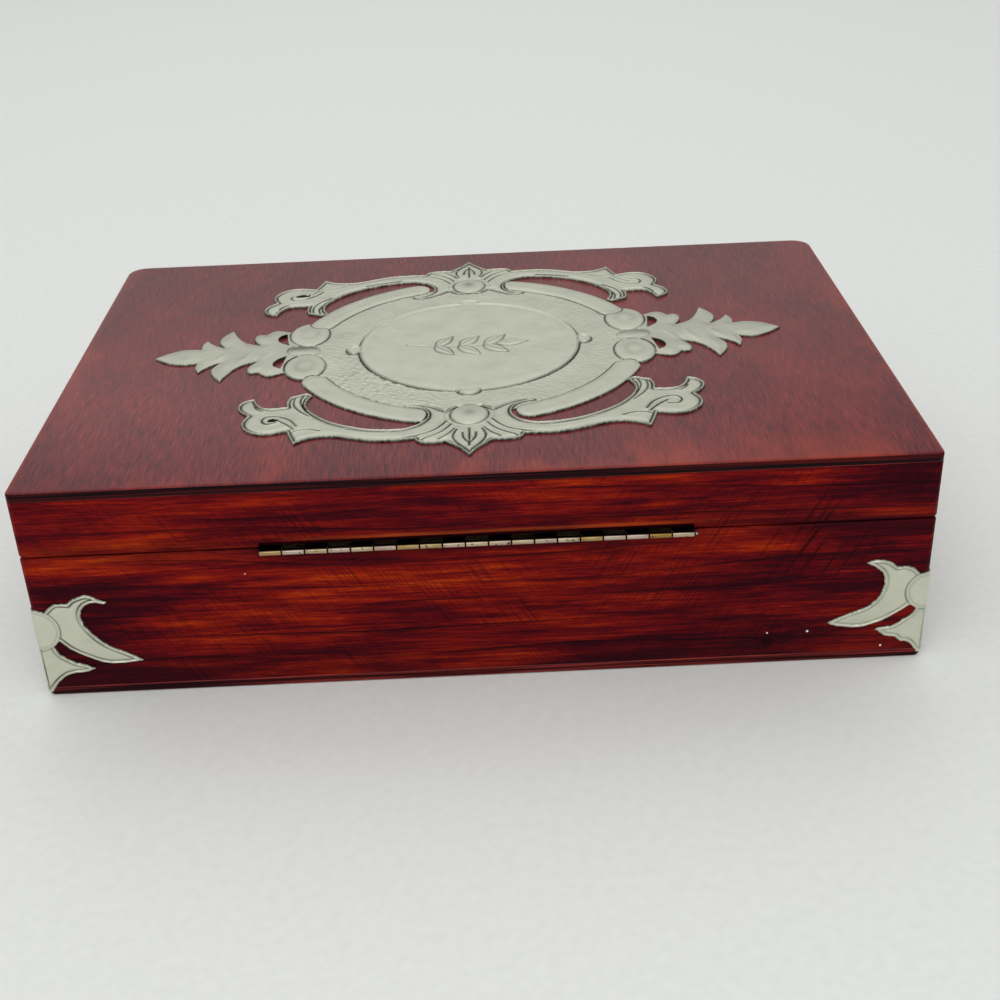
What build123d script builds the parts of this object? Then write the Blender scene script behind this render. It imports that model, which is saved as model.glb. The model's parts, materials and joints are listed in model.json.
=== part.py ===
"""Tea storage box: stained pine, full-width lid on a brass continuous hinge, embossed pewter mounts.

Millimetres, +Z up, origin on the table under the middle of the box. The hinge side is the back, at +Y.
"""

from build123d import *

import math
import os

os.makedirs("parts", exist_ok=True)

# Casing
WIDTH = 254.0
DEPTH = 175.0
HEIGHT = 67.0
PANEL = 3.0  # plywood of the bottom and of the lid's top
WALL = 9.0  # pine of the walls and of the lid's rails
BASE_RIM = 46.3
LID_RIM = 46.7
BACK_CORNER = 2.0
FRONT_CORNER = 6.5
EASE = 0.5  # sanded arrises

# Dividers: a loose crate of thin plywood, six places for tea bags in their envelopes
DIVIDER = 3.0
DIVIDER_TOP = 44.0
COLUMNS = 3

# Continuous hinge
KNUCKLES = 19
KNUCKLE_PITCH = 6.32
KNUCKLE_GAP = 0.25
KNUCKLE_RADIUS = 0.9
KNUCKLE_SIDES = 12  # round enough for a knuckle under 2 mm across
BORE_RADIUS = 0.5  # to the flats
BORE_SIDES = 6
PIN_RADIUS = 0.45
PIN_SIDES = 8
PIN_TAIL = 0.9  # the pin stands out at the end on the left as seen from the front
LEAF = 0.4
LEAF_FRONT = 80.2  # Y of the leaves' inner edge
LEAF_BACK = 87.4  # Y where the leaves are cut back between knuckles
PARED_BACK = 86.2  # Y and height of the step pared off the lid's rail above the knuckles
PARED_TOP = 48.4
HINGE_X = 0.6
AXIS_Y = 88.7
AXIS_Z = 45.9
SCREWS = 4
SCREW_SPAN = 99.0
SCREW_SIDES = 8
SCREW_Y = 83.6
SCREW_HEAD_RADIUS = 1.5
SCREW_SHANK_RADIUS = 0.7
SCREW_HEAD = 0.8
SCREW_FLARE = 0.7
SCREW_LENGTH = 7.0

# Pewter: thin sheet, worked up from behind
SHEET = 0.6
RELIEF = 0.5
MOUNT_X = 0.9
MOUNT_Y = 0.5
MOUNT_TURN = 1.2  # degrees; the mount was laid on by hand
RING_RADIUS = 36.0
PLATE_RADIUS = 49.5
RING_LOBE = 5.0
RING_LOBE_REACH = 34.2
BAND_RADIUS = 53.0
BAND_WIDTH = 8.8
BAND_START = 24.0
BAND_END = 72.0
RIM = 1.2  # flat edge left round the raised forms
SIDE_DROP = 1.5  # the side beads and leaves sit this much towards the front
BEAD_X = 52.3
BEAD_Y = 13.0
BEAD_HALF = (6.5, 9.2)
HEAD_BEAD_Y = 52.0
HEAD_BEAD_HALF = (5.6, 6.4)
BEAD_RIM = 0.6
BEAD_RISE = 1.5
BEAD_SIDES = 16  # the flats are too short to tell from a curve
EYE = (58.8, 49.4)
EYE_RADIUS = 1.6
EYE_SIDES = 6  # a hole nibbled out with a small punch

# Outlines are chains of stretches that meet end to end: two points are a line, three points an arc.
# One scroll arm, in the quarter where both coordinates are positive
ARM = (
    ((7.0, 44.6), (16.5, 44.6)),
    ((16.5, 44.6), (12.6, 49.6), (15.3, 56.6)),
    ((15.3, 56.6), (18.6, 58.5)),
    ((18.6, 58.5), (23.5, 58.7)),
    ((23.5, 58.7), (40.0, 52.2), (49.0, 39.5)),
    ((49.0, 39.5), (47.5, 33.0)),
    ((47.5, 33.0), (50.2, 31.8)),
    ((50.2, 31.8), (54.5, 33.6)),
    ((54.5, 33.6), (54.9, 40.3)),
    ((54.9, 40.3), (61.2, 39.8), (65.0, 33.4)),
    ((65.0, 33.4), (69.6, 37.6), (66.0, 45.1)),
    ((66.0, 45.1), (67.3, 50.8), (64.4, 55.8)),
    ((64.4, 55.8), (59.4, 57.7), (53.6, 56.4)),
    ((53.6, 56.4), (50.8, 65.0)),
    ((50.8, 65.0), (45.4, 61.5), (38.6, 61.5)),
    ((38.6, 61.5), (27.6, 65.2), (15.8, 65.3)),
    ((15.8, 65.3), (12.8, 67.8)),
    ((12.8, 67.8), (6.9, 68.2)),
    ((6.9, 68.2), (2.8, 72.4)),
    ((2.8, 72.4), (0.0, 77.3)),
)
# The arm's raised sweep, inside its flat rim
ARM_CREST = (
    ((9.0, 60.2), (9.4, 49.6)),
    ((9.4, 49.6), (11.8, 55.8), (16.0, 59.4)),
    ((16.0, 59.4), (39.0, 55.7), (50.8, 35.4)),
    ((50.8, 35.4), (53.0, 42.4)),
    ((53.0, 42.4), (50.0, 61.2)),
    ((50.0, 61.2), (45.0, 59.0), (38.8, 59.4)),
    ((38.8, 59.4), (24.4, 63.4), (9.0, 60.2)),
)
# Half of a side leaf, from the bead outward to the tip, on its own centre line
LEAF_EDGE = (
    ((57.0, 15.2), (61.9, 17.8), (66.6, 15.0)),
    ((66.6, 15.0), (69.8, 12.4)),
    ((69.8, 12.4), (68.8, 8.4)),
    ((68.8, 8.4), (67.4, 5.6)),
    ((67.4, 5.6), (74.2, 11.4), (77.8, 20.4)),
    ((77.8, 20.4), (81.2, 12.6), (79.3, 6.0)),
    ((79.3, 6.0), (82.6, 8.6), (85.6, 13.0)),
    ((85.6, 13.0), (86.8, 5.4)),
    ((86.8, 5.4), (94.8, 4.6), (101.0, 0.0)),
)
LEAF_EYELET = ((58.4, 4.4), (61.3, 6.8), (61.9, 10.4), (59.6, 13.8))  # snipped out with short cuts
LEAF_VEINS = ((64.0, (69.6, 13.2)), (70.0, (77.4, 18.2)), (78.0, (85.0, 11.4)))
VEIN = 0.9
STALK_START = 60.0
STALK_END = 98.0
# Petals of the two heads, measured from the middle of the head bead
PETAL_REACH = 23.2
PETAL_SIDE_REACH = 15.0
PETAL_LEAN = 36.0
PETAL_GAP = 0.6
PETAL_BELLY = 2.2
# A corner mount on one face: distance from the corner, height from the middle of its boss
BOSS_Z = 22.2
BOSS_RADIUS = 7.2
CRESCENT = (
    ((4.4, 5.6), (6.8, 8.2)),
    ((6.8, 8.2), (11.0, 9.1)),
    ((11.0, 9.1), (16.8, 11.5), (22.8, 8.8)),
    ((22.8, 8.8), (22.4, 8.0)),
    ((22.4, 8.0), (17.4, 7.9)),
    ((17.4, 7.9), (14.8, 2.8)),
    ((14.8, 2.8), (20.7, -5.6), (31.0, -11.6)),
    ((31.0, -11.6), (18.6, -12.0), (6.8, -4.8)),
)
SPUR = (
    ((4.6, -4.8), (8.8, -10.0)),
    ((8.8, -10.0), (15.9, -13.9)),
    ((15.9, -13.9), (7.4, -15.5)),
    ((7.4, -15.5), (1.6, -21.4)),
)
MOUNT_FOOT = 0.8
SMALL_MOUNT = 0.91  # the one at the back left came out smaller and sits a little turned
SMALL_MOUNT_TURN = 5.0
OTHER_BACK_MOUNT = 0.97

half_width = WIDTH / 2
half_depth = DEPTH / 2
inner_width = WIDTH - 2 * WALL
inner_depth = DEPTH - 2 * WALL
hinge_length = KNUCKLES * KNUCKLE_PITCH
hinge_start = HINGE_X - hinge_length / 2
base_leaf_z = AXIS_Z - KNUCKLE_RADIUS
lid_leaf_z = AXIS_Z + KNUCKLE_RADIUS - LEAF
screw_xs = [HINGE_X + SCREW_SPAN * (i / (SCREWS - 1) - 0.5) for i in range(SCREWS)]

# The outline seen from above: the back corners nearly sharp, the front corners well rounded
with BuildSketch() as footprint:
    Rectangle(WIDTH, DEPTH)
    fillet(footprint.vertices().group_by(Axis.Y)[-1], radius=BACK_CORNER)
    fillet(footprint.vertices().group_by(Axis.Y)[0], radius=FRONT_CORNER)

# Both frames are shaped whole and then cut at the mitres, so that the eased arrises run on
with BuildPart() as base_frame:
    with BuildSketch(Plane.XY.offset(PANEL)):
        add(footprint.sketch)
        Rectangle(inner_width, inner_depth, mode=Mode.SUBTRACT)
    extrude(amount=BASE_RIM - PANEL)
    chamfer(base_frame.faces().sort_by(Axis.Z)[-1].outer_wire().edges(), length=EASE)

with BuildPart() as lid_frame:
    with BuildSketch(Plane.XY.offset(LID_RIM)):
        add(footprint.sketch)
        Rectangle(inner_width, inner_depth, mode=Mode.SUBTRACT)
    extrude(amount=HEIGHT - PANEL - LID_RIM)
    chamfer(lid_frame.faces().sort_by(Axis.Z)[0].outer_wire().edges(), length=EASE)


def mitre(turns):
    """The wedge, seen from above, that one side is cut from; turns 0 to 3: back, left, front, right."""
    along = (half_width, half_depth)[turns % 2]
    out = (half_depth, half_width)[turns % 2]
    with BuildSketch(mode=Mode.PRIVATE) as wedge:
        with BuildLine():
            Polyline(
                (along + WALL, out + WALL),
                (along - 2 * WALL, out - 2 * WALL),
                (2 * WALL - along, out - 2 * WALL),
                (-along - WALL, out + WALL),
                close=True,
            )
        make_face()
    return wedge.sketch.rotate(Axis.Z, 90 * turns)


with BuildPart() as base_bottom_panel:
    with BuildSketch():
        add(footprint.sketch)
    extrude(amount=PANEL)
    chamfer(base_bottom_panel.faces().sort_by(Axis.Z)[0].edges(), length=EASE)
base_bottom_panel.part.label = "base_bottom_panel"

with BuildPart() as lid_top_panel:
    with BuildSketch(Plane.XY.offset(HEIGHT - PANEL)):
        add(footprint.sketch)
    extrude(amount=PANEL)
    chamfer(lid_top_panel.faces().sort_by(Axis.Z)[-1].edges(), length=EASE)
lid_top_panel.part.label = "lid_top_panel"

# One countersunk wood screw, head face up at the origin, and the row of them in a leaf
with BuildPart() as screw:
    with BuildSketch():
        RegularPolygon(SCREW_HEAD_RADIUS, SCREW_SIDES)
    extrude(amount=-SCREW_HEAD)
    chamfer(screw.faces().sort_by(Axis.Z)[0].edges(), length=SCREW_FLARE)
    with BuildSketch(Plane.XY.offset(-SCREW_HEAD)):
        RegularPolygon(SCREW_SHANK_RADIUS, SCREW_SIDES)
    extrude(amount=SCREW_HEAD - SCREW_LENGTH)

with BuildPart() as hinge_screws_base:
    with Locations(*[(x, SCREW_Y, base_leaf_z + LEAF) for x in screw_xs]):
        add(screw.part)
hinge_screws_base.part.label = "hinge_screws_base"

with BuildPart() as hinge_screws_lid:
    with Locations(*[Location((x, SCREW_Y, lid_leaf_z), (180, 0, 0)) for x in screw_xs]):
        add(screw.part)
hinge_screws_lid.part.label = "hinge_screws_lid"

# The back wall and the back rail are let in for the hinge, through to the outside
with BuildPart() as base_back_wall:
    add(base_frame.part)
    with BuildSketch():
        add(mitre(0))
    extrude(amount=HEIGHT, mode=Mode.INTERSECT)
    with BuildSketch(Plane.XY.offset(base_leaf_z)):
        with Locations((HINGE_X, (LEAF_FRONT + half_depth + WALL) / 2)):
            Rectangle(hinge_length, half_depth + WALL - LEAF_FRONT)
    extrude(amount=BASE_RIM - base_leaf_z, mode=Mode.SUBTRACT)
    add(hinge_screws_base.part, mode=Mode.SUBTRACT)
base_back_wall.part.label = "base_back_wall"

with BuildPart() as lid_back_rail:
    add(lid_frame.part)
    with BuildSketch():
        add(mitre(0))
    extrude(amount=HEIGHT, mode=Mode.INTERSECT)
    with BuildSketch(Plane.XY.offset(LID_RIM)):
        with Locations((HINGE_X, (LEAF_FRONT + half_depth + WALL) / 2)):
            Rectangle(hinge_length, half_depth + WALL - LEAF_FRONT)
    extrude(amount=lid_leaf_z + LEAF - LID_RIM, mode=Mode.SUBTRACT)
    with BuildSketch(Plane.XY.offset(LID_RIM)):
        with Locations((HINGE_X, (PARED_BACK + half_depth + WALL) / 2)):
            Rectangle(hinge_length, half_depth + WALL - PARED_BACK)
    extrude(amount=PARED_TOP - LID_RIM, mode=Mode.SUBTRACT)
    add(hinge_screws_lid.part, mode=Mode.SUBTRACT)
lid_back_rail.part.label = "lid_back_rail"


def plain_side(frame, turns, label):
    """A side of a frame that carries nothing: the frame cut to its mitre wedge."""
    with BuildPart() as side:
        add(frame.part)
        with BuildSketch():
            add(mitre(turns))
        extrude(amount=HEIGHT, mode=Mode.INTERSECT)
    side.part.label = label
    return side


# Left and right are as seen from the front, which is at -Y
base_right_wall = plain_side(base_frame, 3, "base_right_wall")
base_front_wall = plain_side(base_frame, 2, "base_front_wall")
base_left_wall = plain_side(base_frame, 1, "base_left_wall")
lid_right_rail = plain_side(lid_frame, 3, "lid_right_rail")
lid_front_rail = plain_side(lid_frame, 2, "lid_front_rail")
lid_left_rail = plain_side(lid_frame, 1, "lid_left_rail")

# Divider crate: the long board is slotted from above and the short ones from below, half and half
divider_height = DIVIDER_TOP - PANEL
column_pitch = (inner_width + DIVIDER) / COLUMNS
cross_xs = [column_pitch * (i - (COLUMNS - 2) / 2) for i in range(COLUMNS - 1)]

with BuildPart() as long_divider:
    with BuildSketch(Plane.XY.offset(PANEL)):
        Rectangle(inner_width, DIVIDER)
    extrude(amount=divider_height)
    with BuildSketch(Plane.XY.offset(PANEL + divider_height / 2)):
        with Locations(*[(x, 0) for x in cross_xs]):
            Rectangle(DIVIDER, DIVIDER)
    extrude(amount=divider_height / 2, mode=Mode.SUBTRACT)
long_divider.part.label = "long_divider"


def cross_divider(x, label):
    """A short divider across the box at x, slotted from below over the long one."""
    with BuildPart() as divider:
        with BuildSketch(Plane.XY.offset(PANEL)):
            with Locations((x, 0)):
                Rectangle(DIVIDER, inner_depth)
        extrude(amount=divider_height)
        with BuildSketch(Plane.XY.offset(PANEL)):
            with Locations((x, 0)):
                Rectangle(DIVIDER, DIVIDER)
        extrude(amount=divider_height / 2, mode=Mode.SUBTRACT)
    divider.part.label = label
    return divider


cross_divider_left = cross_divider(cross_xs[0], "cross_divider_left")
cross_divider_right = cross_divider(cross_xs[1], "cross_divider_right")


def hinge_leaf(first, side, label):
    """One leaf of the hinge with every second knuckle from number first; side is -1 below, 1 above."""
    leaf_middle = AXIS_Z + side * (KNUCKLE_RADIUS - LEAF / 2)
    leaf_low = leaf_middle - LEAF / 2
    with BuildPart() as leaf:
        with BuildSketch(Plane.XY.offset(leaf_low)):
            with Locations((HINGE_X, (LEAF_FRONT + LEAF_BACK) / 2)):
                Rectangle(hinge_length, LEAF_BACK - LEAF_FRONT)
        extrude(amount=LEAF)
        for number in range(first, KNUCKLES, 2):
            x = hinge_start + number * KNUCKLE_PITCH + KNUCKLE_GAP / 2
            with BuildSketch(Plane.YZ.offset(x)):
                with Locations((AXIS_Y, AXIS_Z)):
                    RegularPolygon(KNUCKLE_RADIUS, KNUCKLE_SIDES)
                with Locations(((LEAF_BACK + AXIS_Y) / 2, leaf_middle)):
                    Rectangle(AXIS_Y - LEAF_BACK, LEAF)
                with Locations((AXIS_Y, AXIS_Z)):
                    RegularPolygon(BORE_RADIUS, BORE_SIDES, major_radius=False, mode=Mode.SUBTRACT)
            extrude(amount=KNUCKLE_PITCH - KNUCKLE_GAP)
        screws = hinge_screws_base if side < 0 else hinge_screws_lid
        add(screws.part, mode=Mode.SUBTRACT)
    leaf.part.label = label
    return leaf


hinge_leaf_lid = hinge_leaf(0, 1, "hinge_leaf_lid")
hinge_leaf_base = hinge_leaf(1, -1, "hinge_leaf_base")

with BuildPart() as hinge_pin:
    with BuildSketch(Plane.YZ.offset(hinge_start - PIN_TAIL)):
        with Locations((AXIS_Y, AXIS_Z)):
            RegularPolygon(PIN_RADIUS, PIN_SIDES)
    extrude(amount=hinge_length + PIN_TAIL)
hinge_pin.part.label = "hinge_pin"


def outline(stretches):
    """Draws a chain of lines and three-point arcs inside the current line builder."""
    for points in stretches:
        if len(points) == 2:
            Line(*points)
        else:
            ThreePointArc(*points)


# The lid's mount: plate, bands, beads, scroll arms and leaves, pierced between the arms and the bands
mount_plane = Plane(
    origin=(MOUNT_X, MOUNT_Y, HEIGHT),
    x_dir=(math.cos(math.radians(MOUNT_TURN)), math.sin(math.radians(MOUNT_TURN)), 0),
    z_dir=(0, 0, 1),
)
mount_top = mount_plane.offset(SHEET)
bead_places = [(x, y - SIDE_DROP) for x in (BEAD_X, -BEAD_X) for y in (BEAD_Y, -BEAD_Y)]
head_bead_places = [(0, HEAD_BEAD_Y), (0, -HEAD_BEAD_Y)]

with BuildSketch() as arm_quarter:
    with BuildLine():
        outline(ARM)
        Polyline(ARM[-1][-1], (0, ARM[0][0][1]), ARM[0][0])
    make_face()
    with Locations(EYE):
        RegularPolygon(EYE_RADIUS, EYE_SIDES, mode=Mode.SUBTRACT)

with BuildSketch() as crest_quarter:
    with BuildLine():
        outline(ARM_CREST)
    make_face()

band_span = BAND_END - BAND_START
with BuildSketch() as band_quarter:
    with BuildLine():
        band_line = CenterArc((0, 0), BAND_RADIUS, BAND_START, band_span)
    SlotArc(band_line, height=BAND_WIDTH)

# The band's raised middle, cut off square where it meets a bead or a head
band_crest = BAND_WIDTH / 2 - RIM
with BuildSketch() as band_crest_quarter:
    with BuildLine():
        inner_edge = CenterArc((0, 0), BAND_RADIUS - band_crest, BAND_START, band_span)
        outer_edge = CenterArc((0, 0), BAND_RADIUS + band_crest, BAND_START, band_span)
        Line(inner_edge @ 0, outer_edge @ 0)
        Line(inner_edge @ 1, outer_edge @ 1)
    make_face()

with BuildSketch() as leaf_whole:
    with BuildLine():
        outline(LEAF_EDGE)
        Polyline(LEAF_EDGE[-1][-1], (BEAD_X, 0), LEAF_EDGE[0][0])
    make_face()
    with BuildLine():
        Polyline(*LEAF_EYELET, close=True)
    make_face(mode=Mode.SUBTRACT)
    mirror(about=Plane.XZ)

# Veins are long thin triangles from the stalk out to the lobes
with BuildSketch() as leaf_veins:
    for root, tip in LEAF_VEINS:
        with BuildLine():
            Polyline((root - VEIN, 0), tip, (root + VEIN, 0), close=True)
        make_face()
    with BuildLine():
        Polyline((STALK_START, VEIN), (STALK_END, 0), (STALK_START, -VEIN), close=True)
    make_face()
    mirror(about=Plane.XZ)

# The bare middle stands proud of the ground that is hammered down round it, with a lobe at each quarter
with BuildSketch() as middle_panel:
    Circle(RING_RADIUS)
    with PolarLocations(RING_LOBE_REACH, 4):
        Circle(RING_LOBE)


def petal(lean, reach):
    """A pointed petal, seen from the middle of its head bead and turned this many degrees about it."""
    root = HEAD_BEAD_HALF[1] + PETAL_GAP
    belly = (root + reach) / 2
    with BuildSketch() as shape:
        with BuildLine():
            Polyline((0, root), (-PETAL_BELLY, belly), (0, reach), (PETAL_BELLY, belly), close=True)
        make_face()
    return shape.sketch.rotate(Axis.Z, lean)


# Each head has one long petal beyond its bead and a smaller one to either side
with BuildSketch() as head_petals:
    with Locations((0, HEAD_BEAD_Y)):
        add(petal(0, PETAL_REACH))
        add(petal(PETAL_LEAN, PETAL_SIDE_REACH))
        add(petal(-PETAL_LEAN, PETAL_SIDE_REACH))


def bead_dome(half_x, half_y):
    """A low oval dome, steep at its sides: a ball's cap that runs out at the tips of the oval."""
    ball_radius = (half_y**2 + BEAD_RISE**2) / (2 * BEAD_RISE)
    turns = [math.tau * (i + 0.5) / BEAD_SIDES for i in range(BEAD_SIDES)]
    with BuildPart() as dome:
        with BuildSketch():
            with BuildLine():
                Polyline(*[(half_x * math.cos(t), half_y * math.sin(t)) for t in turns], close=True)
            make_face()
        extrude(amount=BEAD_RISE)
        with Locations((0, 0, BEAD_RISE - ball_radius)):
            Sphere(ball_radius, rotation=(90, 0, 0), mode=Mode.INTERSECT)
    return dome


bead = bead_dome(BEAD_HALF[0] - BEAD_RIM, BEAD_HALF[1] - BEAD_RIM)
head_bead = bead_dome(HEAD_BEAD_HALF[0] - BEAD_RIM, HEAD_BEAD_HALF[1] - BEAD_RIM)


def place_quarters(quarter):
    """Adds a sketch of the first quarter and its three mirror images to the current sketch."""
    for turn in (0, 180):
        add(quarter.sketch.rotate(Axis.Z, turn))
        add(quarter.sketch.mirror(Plane.YZ).rotate(Axis.Z, turn))


def place_sides(side_sketch):
    """Adds a sketch of the +X side and its mirror image, both dropped with the side beads."""
    with Locations((0, -SIDE_DROP)):
        add(side_sketch.sketch)
        add(side_sketch.sketch.mirror(Plane.YZ))


with BuildPart() as lid_mount:
    with BuildSketch(mount_plane):
        Circle(PLATE_RADIUS)
        place_quarters(band_quarter)
        place_quarters(arm_quarter)
        place_sides(leaf_whole)
        with Locations(*bead_places):
            Ellipse(*BEAD_HALF)
    extrude(amount=SHEET)
    with BuildSketch(mount_top):
        add(middle_panel.sketch)
        place_quarters(band_crest_quarter)
        place_quarters(crest_quarter)
        place_sides(leaf_veins)
        add(head_petals.sketch)
        add(head_petals.sketch.rotate(Axis.Z, 180))
    extrude(amount=RELIEF)
    with Locations(mount_top):
        with Locations(*bead_places):
            add(bead.part)
        with Locations(*head_bead_places):
            add(head_bead.part)
lid_mount.part.label = "lid_mount"

# The outline of a corner mount on one face, from the middle of its boss: boss, crescent and spur
with BuildSketch() as corner_outline:
    Circle(BOSS_RADIUS)
    with BuildLine():
        outline(CRESCENT)
        Polyline(CRESCENT[-1][-1], (0, 0), CRESCENT[0][0])
    make_face()
    with BuildLine():
        outline(SPUR)
        Polyline(SPUR[-1][-1], (0, SPUR[-1][-1][1]), (0, 0), SPUR[0][0])
    make_face()


def corner_mount(side, face, radius, scaling, turn, label):
    """A mount round a corner whose arris has this radius; side and face are its signs in X and Y."""
    bend = radius * math.pi / 4  # along the surface, from the middle of the arris to the flat
    boss_middle = (half_width - radius + bend, half_depth, BOSS_Z)
    with BuildPart() as mount:
        with BuildSketch(Plane(origin=boss_middle, x_dir=(-1, 0, 0), z_dir=(0, 1, 0))):
            add(corner_outline.sketch.scale(scaling).rotate(Axis.Z, turn))
            with Locations((bend + HEIGHT / 2, 0)):
                Rectangle(HEIGHT, HEIGHT, mode=Mode.INTERSECT)
        extrude(amount=SHEET)
        with BuildSketch(Plane.XY.offset(MOUNT_FOOT)):
            with Locations((half_width - radius, half_depth - radius)):
                Circle(radius + SHEET)
                Circle(radius, mode=Mode.SUBTRACT)
                Rectangle(radius + SHEET, radius + SHEET, align=Align.MIN, mode=Mode.INTERSECT)
        extrude(amount=BOSS_Z + BOSS_RADIUS - MOUNT_FOOT)
        mirror(about=Plane(origin=(half_width, half_depth, 0), z_dir=(1, -1, 0)))
        if side < 0:
            mirror(about=Plane.YZ, mode=Mode.REPLACE)
        if face < 0:
            mirror(about=Plane.XZ, mode=Mode.REPLACE)
    mount.part.label = label
    return mount


corner_mount_back_left = corner_mount(
    -1, 1, BACK_CORNER, SMALL_MOUNT, SMALL_MOUNT_TURN, "corner_mount_back_left"
)
corner_mount_back_right = corner_mount(
    1, 1, BACK_CORNER, OTHER_BACK_MOUNT, 0.0, "corner_mount_back_right"
)
corner_mount_front_left = corner_mount(-1, -1, FRONT_CORNER, 1.0, 0.0, "corner_mount_front_left")
corner_mount_front_right = corner_mount(1, -1, FRONT_CORNER, 1.0, 0.0, "corner_mount_front_right")

PIECES = (
    base_bottom_panel,
    base_back_wall,
    base_right_wall,
    base_front_wall,
    base_left_wall,
    long_divider,
    cross_divider_left,
    cross_divider_right,
    corner_mount_back_left,
    corner_mount_back_right,
    corner_mount_front_left,
    corner_mount_front_right,
    hinge_leaf_base,
    hinge_screws_base,
    lid_top_panel,
    lid_back_rail,
    lid_right_rail,
    lid_front_rail,
    lid_left_rail,
    lid_mount,
    hinge_leaf_lid,
    hinge_screws_lid,
    hinge_pin,
)

for piece in PIECES:
    export_step(piece.part, "parts/" + piece.part.label + ".step")
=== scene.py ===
"""Looks of the tea storage box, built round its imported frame.

A stained pine casing with a full-width lid on a brass continuous hinge, and embossed, pierced pewter mounts.
Blender holds it in metres on the frame's own axes: +Z up, the hinge side at +Y. Shapes are worked out in
millimetres and turned to metres as they become meshes.
"""

import json
import logging
import math
from collections.abc import Sequence
from dataclasses import dataclass, field
from enum import Enum
from typing import Any

import bpy
import numpy as np
from mathutils import Matrix, Vector, geometry


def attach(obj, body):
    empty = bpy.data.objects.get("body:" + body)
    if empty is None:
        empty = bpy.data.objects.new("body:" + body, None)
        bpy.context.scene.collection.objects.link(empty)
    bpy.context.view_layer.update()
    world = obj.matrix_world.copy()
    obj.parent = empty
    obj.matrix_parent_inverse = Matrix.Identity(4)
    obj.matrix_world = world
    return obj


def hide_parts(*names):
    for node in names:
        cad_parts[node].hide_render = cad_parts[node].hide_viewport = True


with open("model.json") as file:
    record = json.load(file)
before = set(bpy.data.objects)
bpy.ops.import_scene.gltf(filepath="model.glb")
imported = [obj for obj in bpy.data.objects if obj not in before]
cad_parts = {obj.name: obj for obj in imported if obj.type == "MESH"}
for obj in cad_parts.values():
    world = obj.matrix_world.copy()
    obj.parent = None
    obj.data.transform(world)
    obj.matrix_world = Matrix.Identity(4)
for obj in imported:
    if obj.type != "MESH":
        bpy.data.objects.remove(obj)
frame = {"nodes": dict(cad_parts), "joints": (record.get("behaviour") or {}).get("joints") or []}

LOG = logging.getLogger("tea_box")
MM = 0.001
Pair = tuple[float, float]
Triple = tuple[float, float, float]
Stretch = tuple[Pair, ...]
Array = np.ndarray


class Body(Enum):
    """The two bodies that the pieces move with."""

    BASE = "base"
    LID = "lid"


class Slot(Enum):
    """The record's material slots."""

    PINE = "stained_pine"
    PLYWOOD = "stained_plywood"
    DIVIDER = "divider_plywood"
    PEWTER = "pewter"
    BRASS = "hinge_brass"
    SCREW = "screw_brass"
    STEEL = "pin_steel"


class Grain(Enum):
    """The way that a board's grain runs."""

    ALONG_X = "x"
    ALONG_Y = "y"


# Curves and fields


def spline(points: Sequence[Pair], step: float = 0.35) -> Array:
    """Samples a smooth curve through points.

    A natural cubic spline by distance along the chords: its second derivatives solve the usual
    three-diagonal system, and each span is the cubic that they give.

    Args:
        points: The points to pass through, in millimetres. Two points give a straight line.
        step: The distance between samples.

    Returns:
        An array of sampled points, the ends included.
    """
    p = np.asarray(points, float)
    spans = np.hypot(*np.diff(p, axis=0).T)
    t = np.concatenate(([0.0], np.cumsum(spans)))
    system = np.eye(len(p))
    right = np.zeros_like(p)
    for i in range(1, len(p) - 1):
        system[i, i - 1 : i + 2] = spans[i - 1], 2 * (spans[i - 1] + spans[i]), spans[i]
        right[i] = 6 * ((p[i + 1] - p[i]) / spans[i] - (p[i] - p[i - 1]) / spans[i - 1])
    bend = np.linalg.solve(system, right)
    at = np.linspace(0, t[-1], max(2, math.ceil(t[-1] / step) + 1))
    i = np.clip(np.searchsorted(t, at, side="right") - 1, 0, len(p) - 2)
    h = spans[i][:, None]
    u = (at - t[i])[:, None] / h
    curve = (1 - u) * p[i] + u * p[i + 1]
    return curve + h**2 / 6 * (((1 - u) ** 3 - (1 - u)) * bend[i] + (u**3 - u) * bend[i + 1])


def chain(stretches: Sequence[Stretch]) -> Array:
    """Joins stretches that meet end to end into one line: each is smooth, with a corner between two."""
    sampled = [spline(stretch) for stretch in stretches]
    return np.concatenate([line[:-1] for line in sampled] + [sampled[-1][-1:]])


def ellipse(centre: Pair, half: Pair, sides: int = 72) -> Array:
    """A closed ellipse: the centre plus the half widths times cosine and sine."""
    angle = np.linspace(0, 2 * math.pi, sides + 1)
    return np.column_stack((centre[0] + half[0] * np.cos(angle), centre[1] + half[1] * np.sin(angle)))


def smooth(value: Array | float) -> Array:
    """Smoothstep: 0 below 0, 1 above 1, and 3v² - 2v³ between."""
    v = np.clip(value, 0.0, 1.0)
    return v * v * (3 - 2 * v)


def bell(value: Array, width: float) -> Array:
    """A bell curve: e to the minus square of value over width."""
    return np.exp(-((value / width) ** 2))


def near(x: Array, y: Array, line: Array, margin: float) -> Array:
    """Which grid points lie in a line's own box, widened by a margin."""
    low, high = line.min(0) - margin, line.max(0) + margin
    return (x > low[0]) & (x < high[0]) & (y > low[1]) & (y < high[1])


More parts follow.
